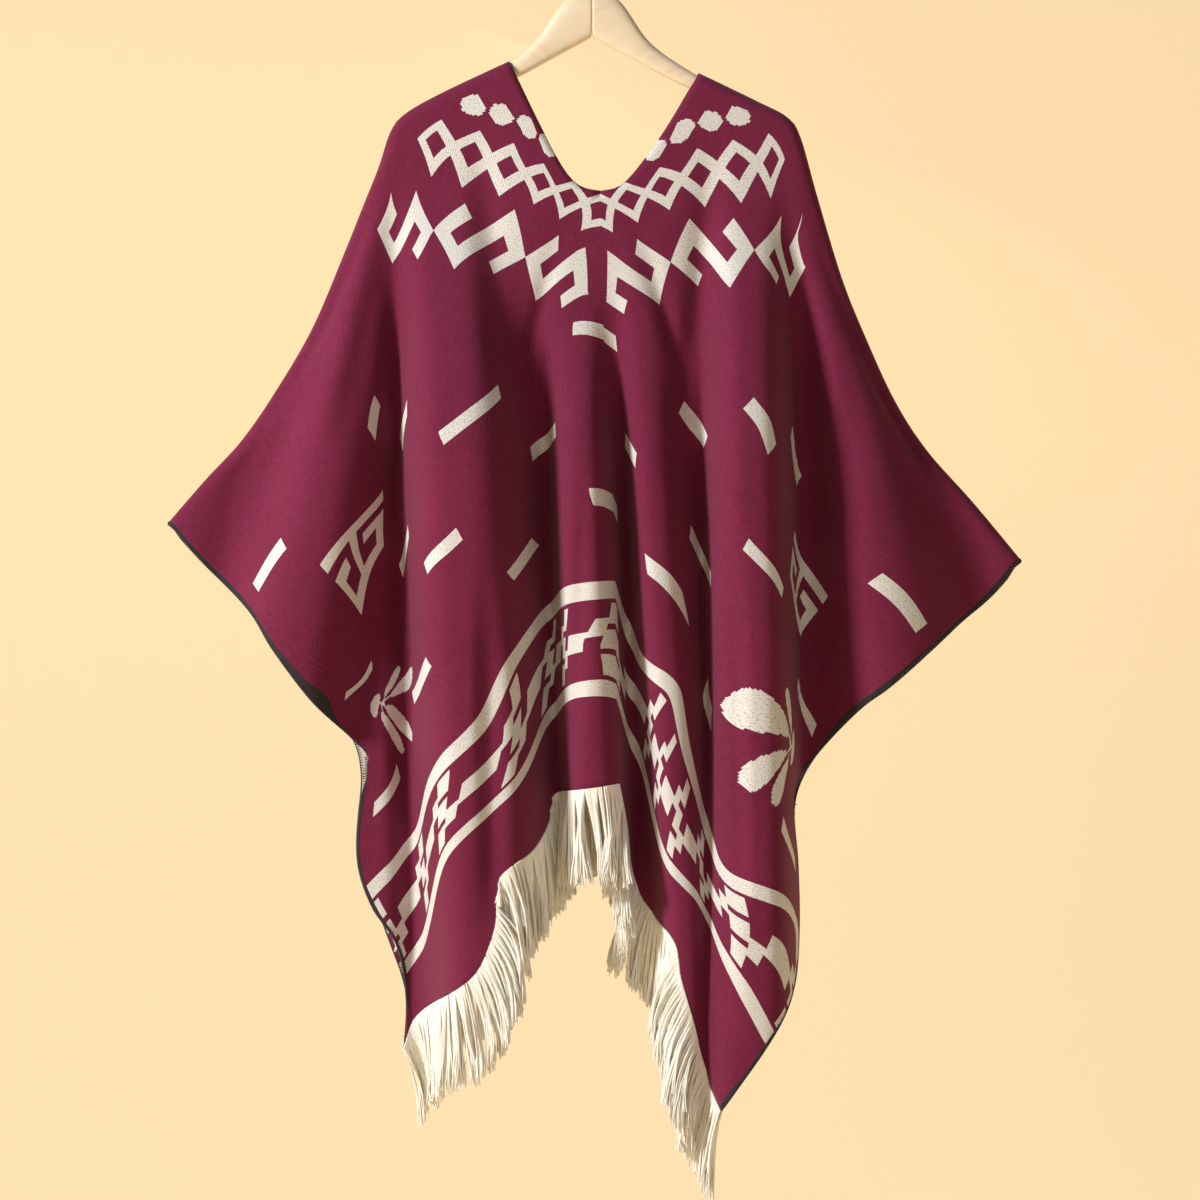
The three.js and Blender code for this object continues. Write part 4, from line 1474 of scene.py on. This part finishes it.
def round_strands(name: str, paths: np.ndarray, radii: np.ndarray,
                  roundness: int = 0) -> bpy.types.Mesh:
    """Strands along many paths, as one mesh shaded smooth.

    Args:
        name: the mesh's name.
        paths: strands by points by x, y and z, in millimetres.
        radii: strands by points, in millimetres.
        roundness: how finely the sides are divided, where 0 gives four sides.

    Returns:
        The mesh, in metres.
    """
    curve = bpy.data.curves.new(name, "CURVE")
    curve.dimensions = "3D"
    curve.bevel_depth = MM
    curve.bevel_resolution = roundness
    curve.use_fill_caps = True
    for path, radius in zip(paths, radii):
        spline = curve.splines.new("POLY")
        spline.points.add(len(path) - 1)
        spline.points.foreach_set("co", np.column_stack([path * MM, np.ones(len(path))]).ravel())
        spline.points.foreach_set("radius", radius)
    holder = bpy.data.objects.new(name, curve)
    bpy.context.scene.collection.objects.link(holder)
    bpy.context.view_layer.update()
    graph = bpy.context.evaluated_depsgraph_get()
    mesh = bpy.data.meshes.new_from_object(holder.evaluated_get(graph))
    bpy.data.objects.remove(holder)
    bpy.data.curves.remove(curve)
    mesh.polygons.foreach_set("use_smooth", np.full(len(mesh.polygons), True))
    mesh.name = name
    return mesh


@dataclass
class Fringe:
    """The ivory fringe of one hem: locks of fine strands that curl out of the hem and fall."""

    facing: Facing
    name: str
    node: str
    locks: int = 165
    strands: int = 20
    points: int = 7
    swing: float = 26.0
    fall: float = 0.6
    root_lift: float = 2.0
    root_gap: float = 0.3
    jitter: float = 0.4
    gather: float = 5.0
    lock_drift: tuple[float, float, float] = (4.0, 4.5, 0.0)
    lock_lengths: Span = (0.93, 1.0)
    strand_lengths: Span = (0.9, 1.0)
    stray: float = 1.9
    stray_rates: Span = (4.0, 3.3)
    splay: float = 2.6
    radius: float = 1.12
    taper: float = 0.5
    seed: int = 7

    def build(self, net: HungNet, finish: bpy.types.Material) -> bpy.types.Object:
        """Hangs the strands from the hem.

        Args:
            net: the panel's hung net.
            finish: the yarn.

        Returns:
            The fringe.
        """
        rng = np.random.default_rng(self.seed)
        hem = hem_frame(net, self.facing)
        count = self.locks * self.strands
        lock = np.repeat(np.arange(self.locks), self.strands)
        within = np.tile((np.arange(self.strands) + 0.5) / self.strands, self.locks)
        spread = within + rng.uniform(-self.jitter, self.jitter, count) / self.strands
        place = np.clip((lock + spread) / self.locks, 0.0, 1.0) * (len(hem.place) - 1)
        index = np.arange(len(hem.place))
        at, on, out = [read_along(place, index, rows) for rows in (hem.place, hem.on, hem.out)]
        on, out = unit(on), unit(out)
        layer = rng.uniform(-1.0, 1.0, count)[:, None]
        root = at - on * self.root_lift + out * (CUT.thickness / 2 + self.root_gap) * np.sign(layer)
        lock_turn = rng.normal(0.0, 1.0, (self.locks, 3))[lock]
        lock_length = rng.uniform(*self.lock_lengths, self.locks)[lock]
        strand_length = rng.uniform(*self.strand_lengths, count)
        length = (CUT.fringe + self.root_lift) * lock_length * strand_length
        along = unit(np.gradient(hem.place, axis=0))[place.astype(int)]
        pinch = ((0.5 - within) * self.gather)[:, None] * along
        wave = rng.uniform(0.0, 2 * math.pi, (count, 2))
        paths = np.zeros((count, self.points, 3))
        radii = np.zeros((count, self.points))
        for k, t in enumerate(np.linspace(0.0, 1.0, self.points)):
            bent = 1 - (1 - t) ** 2
            fall = (length * t - self.swing * self.fall * bent)[:, None]
            drift = lock_turn * self.lock_drift * t + pinch * math.sin(math.pi * min(1.0, t * 1.2))
            stray = np.column_stack([np.sin(wave + t * np.array(self.stray_rates)), np.zeros(count)])
            paths[:, k] = (
                root + on * self.swing * bent - fall * (0, 0, 1) + drift
                + stray * self.stray * t + out * layer * self.splay * t
            )
            radii[:, k] = self.radius * (1.0 - self.taper * t**3)
        mesh = round_strands(self.name, paths, radii)
        return finished(mesh, self.name, [finish], (self.node,))


@dataclass
class Overlock:
    """The overlocked thread along one side edge, from the front corner over the tip to the back."""

    half: Half
    name: str
    pitch: float = 2.7
    reach: float = 4.6
    overhang: float = 0.5
    thread: float = 0.42
    lift: float = 0.9
    points_per_turn: int = 7

    def build(self, cloth: Cloth, finish: bpy.types.Material) -> bpy.types.Object:
        """Winds the thread round the edge.

        Args:
            cloth: the hung cloth.
            finish: the thread.

        Returns:
            The stitches.
        """
        column, inner = (0, 1) if self.half is Half.LEFT else (-1, -2)
        front, back = cloth.nets[Facing.FRONT].place, cloth.nets[Facing.BACK].place
        edge = np.concatenate([front[::-1, column], back[1:, column]])
        inside = np.concatenate([front[::-1, inner], back[1:, inner]])
        run = run_along(edge)
        turns = int(run[-1] / self.pitch)
        at = np.linspace(0.0, run[-1], turns * self.points_per_turn)
        centre, within = read_along(at, run, edge), read_along(at, run, inside)
        along = unit(np.gradient(centre, axis=0))
        inward = within - centre
        inward = unit(inward - along * (inward * along).sum(1, keepdims=True))
        through = np.cross(along, inward)
        angle = np.arange(len(at)) * 2 * math.pi / self.points_per_turn
        lift = CUT.thickness / 2 + self.thread * self.lift
        path = (
            centre
            + inward * (self.reach / 2 - self.overhang - self.reach / 2 * np.cos(angle))[:, None]
            + through * (lift * np.sin(angle))[:, None]
        )
        mesh = round_strands(self.name, path[None], np.full((1, len(path)), self.thread))
        return finished(mesh, self.name, [finish], ())


@dataclass
class HangerArm:
    """One round-topped wooden arm, mitred at the middle, under the shoulder fold.

    top_curve and foot_curve shape the section above and below its middle: the powers of its circle
    across and up, where less than 1 is squarer.
    """

    half: Half
    centre: float = -3.0
    width: float = 16.0
    height: float = 17.5
    clearance: float = 0.6
    length: float = 172.0
    step: float = 14.0
    sides: int = 16
    samples: int = 700
    slope_degrees: float = 27.5
    down_slope: float = 1.12
    slimness: float = 0.985
    top_curve: Span = (1.0, 0.9)
    foot_curve: Span = (0.62, 0.55)
    tip: float = 4.0
    tip_drop: float = 1.5
    tip_share: float = 0.5
    smoothing: int = 2
    neck: tuple[tuple[float, float, float], ...] = (
        (0.15, -52.0, -100.0), (1.2, -52.0, -100.6), (14.0, -52.0, -107.6), (25.0, -58.0, -113.6),
        (37.0, -72.0, -120.0), (50.0, -95.0, -127.0), (66.0, -113.0, -136.0),
    )

    def stations(self) -> list[tuple[float, float, float, float]]:
        """Places the arm's rings, first along its neck and then under the shoulder.

        Returns:
            Each ring's distance out, top, bottom and share of the full width.
        """
        line = smooth_line(RIDGE[self.half], self.samples)
        rows = [(out, top, low, 1.0) for out, top, low in self.neck]
        out = abs(line[0, 0] - self.centre)
        while out <= self.length:
            x = abs(self.centre + self.sign * out)
            ridge = line[int(np.argmax(np.abs(line[:, 0]) >= x)), 1]
            top = ridge - (CUT.thickness / 2 + self.clearance) * self.down_slope
            rows.append((out, top, top - self.height, 1.0))
            out += self.step
        out, top, low, _ = rows[-1]
        rows[-1] = (out, top - self.clearance, low, 1.0)
        middle = (top + low) / 2 - self.tip_drop
        rows.append((out + self.tip, middle + self.tip, middle - self.tip, self.tip_share))
        return rows

    @property
    def sign(self) -> float:
        """-1 on the left and 1 on the right."""
        return -1.0 if self.half is Half.LEFT else 1.0

    def build(self, node: str) -> bpy.types.Object:
        """Lofts the arm through its rings and closes both ends.

        Args:
            node: the CAD node that it stands for.

        Returns:
            The arm.
        """
        arm = bmesh.new()
        loops = []
        for out, top, low, share in self.stations():
            ring = bmesh.ops.create_circle(arm, segments=self.sides, radius=1.0)["verts"]
            half = self.width / 2 * share * self.slimness
            tall = (top - low) / 2
            for vertex in ring:
                c, s = vertex.co.x, vertex.co.y
                power_across, power_up = self.top_curve if s > 0 else self.foot_curve
                across = math.copysign(abs(c) ** power_across, c) * half
                up = math.copysign(abs(s) ** power_up, s) * tall
                vertex.co = Vector((self.centre + self.sign * out, across, (top + low) / 2 + up)) * MM
            loops.append([edge for edge in arm.edges if edge.verts[0] in set(ring)])
        for near, far in zip(loops, loops[1:]):
            bmesh.ops.bridge_loops(arm, edges=near + far)
        ends = [edge for edge in arm.edges if edge.is_boundary]
        bmesh.ops.holes_fill(arm, edges=ends, sides=0)
        bmesh.ops.recalc_face_normals(arm, faces=list(arm.faces))
        for face in arm.faces:
            face.smooth = len(face.verts) == 4
        mesh = bpy.data.meshes.new(node)
        arm.to_mesh(mesh)
        arm.free()
        slope = self.sign * math.radians(self.slope_degrees)
        finish = Birch(f"birch_{self.half.value}", slope).make()
        piece = finished(mesh, f"wooden_arm_{self.half.value}", [finish], (node,))
        soft = piece.modifiers.new("soft", "SUBSURF")
        soft.levels = soft.render_levels = self.smoothing
        return piece


@dataclass
class WireHook:
    """The steel wire hook, whose inside crown is the origin."""

    centre: float = -3.0
    wood_top: float = -52.0
    gap: float = 0.3
    stem: float = 7.0
    wire: float = 2.0
    radius: float = 20.0
    first_angle: float = -68.0
    last_angle: float = 196.0
    bends: int = 48
    stem_bends: int = 8
    pull: float = 0.4
    roundness: int = 5

    def build(self, node: str) -> bpy.types.Object:
        """Bends the wire.

        Args:
            node: the CAD node that it stands for.

        Returns:
            The hook.
        """
        stem = [(self.centre, 0.0, self.wood_top + up) for up in (self.gap, self.stem)]
        angles = np.radians(np.linspace(self.first_angle, self.last_angle, self.bends))
        middle = self.wire - self.radius
        arc = np.column_stack([
            self.radius * np.cos(angles), np.zeros(self.bends), middle + self.radius * np.sin(angles)])
        bend = self.ease(np.array(stem[1]), arc[0], arc[1] - arc[0])
        path = np.vstack([stem, bend, arc])
        radii = np.full((1, len(path)), self.wire)
        mesh = round_strands("wire_hook", path[None], radii, self.roundness)
        return finished(mesh, "wire_hook", [BrightWire().make()], (node,))

    def ease(self, start: np.ndarray, end: np.ndarray, way: np.ndarray) -> np.ndarray:
        """A smooth bend from the upright stem into the circle.

        Args:
            start: the top of the stem.
            end: where the circle begins.
            way: the way on along the circle.

        Returns:
            The places between the two.
        """
        t = np.linspace(0.0, 1.0, self.stem_bends)[1:-1, None]
        reach = np.linalg.norm(end - start)
        first = start + np.array([0.0, 0.0, reach * self.pull])
        second = end - way / np.linalg.norm(way) * reach * self.pull
        return (
            (1 - t) ** 3 * start + 3 * (1 - t) ** 2 * t * first
            + 3 * (1 - t) * t**2 * second + t**3 * end
        )


@dataclass(frozen=True)
class Lamp:
    """One soft square light, aimed at the middle of the cape; sizes in metres, power in watts."""

    name: str
    place: tuple[float, float, float]
    size: float
    power: float
    colour: tuple[float, float, float]
    aim: tuple[float, float, float] = (0.0, 0.0, -0.65)

    def hang(self) -> None:
        """Puts the light in the scene."""
        light = bpy.data.lights.new(self.name, "AREA")
        light.shape = "SQUARE"
        light.size = self.size
        light.energy = self.power
        light.color = self.colour
        lamp = bpy.data.objects.new(self.name, light)
        lamp.location = self.place
        lamp.rotation_mode = "QUATERNION"
        lamp.rotation_quaternion = (Vector(self.aim) - Vector(self.place)).to_track_quat("-Z", "Y")
        bpy.context.scene.collection.objects.link(lamp)


@dataclass
class Studio:
    """A plain pale floor that sweeps up behind, soft light and the camera."""

    floor: float = -1.75
    wall: float = 3.2
    sweep: float = 1.4
    sweep_steps: int = 24
    half_width: float = 9.0
    near_edge: float = -6.0
    rise: float = 6.0
    distance: float = 3.5
    plane: float = -0.06
    frame_width: float = 1.2
    aim: Span = (0.005, -0.672)
    paper: Colour = (0.55, 0.43, 0.26, 1.0)
    glow: Colour = (0.98, 0.75, 0.455, 1.0)
    glow_strength: float = 0.6
    sky: Colour = (0.97, 0.97, 1.0, 1.0)
    sky_strength: float = 0.11
    lamps: tuple[Lamp, ...] = (
        Lamp("key", (-3.0, -1.75, 0.9), 0.7, 170.0, (0.97, 0.985, 1.0)),
        Lamp("fill", (1.6, -3.6, -0.4), 2.0, 9.0, (0.97, 0.985, 1.0)),
        Lamp("back", (0.6, 2.4, 1.2), 2.0, 16.0, (1.0, 0.96, 0.9)),
    )

    def backdrop(self) -> None:
        """Builds the floor and the sweep as one sheet."""
        sheet = bmesh.new()
        sides = (-self.half_width, self.half_width)
        ends = [sheet.verts.new((x, self.near_edge, self.floor)) for x in sides]
        edge = sheet.edges.new(ends)
        flat = bmesh.ops.extrude_edge_only(sheet, edges=[edge])["geom"]
        moved = [g for g in flat if isinstance(g, bmesh.types.BMVert)]
        for vertex in moved:
            vertex.co.y = self.wall - self.sweep
        line = [g for g in flat if isinstance(g, bmesh.types.BMEdge)]
        centre = (0.0, self.wall - self.sweep, self.floor + self.sweep)
        bent = bmesh.ops.spin(sheet, geom=moved + line, cent=centre, axis=(1, 0, 0),
                              angle=math.pi / 2, steps=self.sweep_steps, use_merge=False)["geom_last"]
        top = bmesh.ops.extrude_edge_only(
            sheet, edges=[g for g in bent if isinstance(g, bmesh.types.BMEdge)])["geom"]
        for vertex in top:
            if isinstance(vertex, bmesh.types.BMVert):
                vertex.co.z += self.rise
        bmesh.ops.recalc_face_normals(sheet, faces=list(sheet.faces))
        mesh = bpy.data.meshes.new("floor")
        for face in sheet.faces:
            face.smooth = True
        sheet.to_mesh(mesh)
        sheet.free()
        floor = bpy.data.objects.new("floor", mesh)
        bpy.context.scene.collection.objects.link(floor)
        g = Graph("pale_floor")
        mesh.materials.append(g.finish(
            Base_Color=self.paper, Roughness=0.95, Specular_IOR_Level=0.0,
            Emission_Color=self.glow, Emission_Strength=self.glow_strength))

    def light(self) -> None:
        """Lights the cape from the upper left, with a weak fill and a light behind."""
        for lamp in self.lamps:
            lamp.hang()
        world = bpy.data.worlds.new("studio")
        world.use_nodes = True
        sky = world.node_tree.nodes["Background"]
        sky.inputs[0].default_value = self.sky
        sky.inputs[1].default_value = self.sky_strength
        bpy.context.scene.world = world
        bpy.context.scene.view_settings.view_transform = "Standard"

    def camera(self) -> None:
        """Looks straight at the front, with the hook above the frame."""
        lens = bpy.data.cameras.new("camera")
        lens.sensor_width = 36.0
        lens.lens = lens.sensor_width * self.distance / self.frame_width
        lens.clip_end = 50.0
        camera = bpy.data.objects.new("camera", lens)
        camera.location = (self.aim[0], self.plane - self.distance, self.aim[1])
        camera.rotation_euler = (math.pi / 2, 0.0, 0.0)
        bpy.context.scene.collection.objects.link(camera)
        bpy.context.scene.camera = camera


def corners(box: tuple[Vector, Vector]) -> list[list[float]]:
    """A box's corners as plain lists."""
    return [[float(x) for x in corner] for corner in box]


def main() -> None:
    """Builds the cape, its trims, the hanger and the studio."""
    logging.basicConfig(level=logging.INFO, format="%(name)s: %(message)s")
    studio = Studio()
    studio.camera()
    cloth = Cloth(Drape())
    cloth.hang()
    sheet = cloth.build()
    # Each yarn's second colour is painted shade for the hollows of its twist.
    ivory = Yarn("ivory_yarn", (0.97, 0.955, 0.90, 1.0), (0.90, 0.84, 0.71, 1.0)).make()
    charcoal = Yarn("charcoal_thread", (0.05, 0.042, 0.048, 1.0), (0.02, 0.016, 0.02, 1.0)).make()
    fringes = (
        Fringe(Facing.FRONT, "front_fringe_strands", "front_fringe"),
        Fringe(Facing.BACK, "back_fringe_strands", "back_fringe", seed=11),
    )
    trims = [fringe.build(cloth.nets[fringe.facing], ivory) for fringe in fringes]
    trims += [Overlock(half, f"overlock_{half.value}").build(cloth, charcoal) for half in Half]
    for half in Half:
        HangerArm(half).build(f"hanger_arm_{half.value}")
    WireHook().build("hanger_hook")
    studio.backdrop()
    studio.light()


if __name__ == "__main__":
    main()
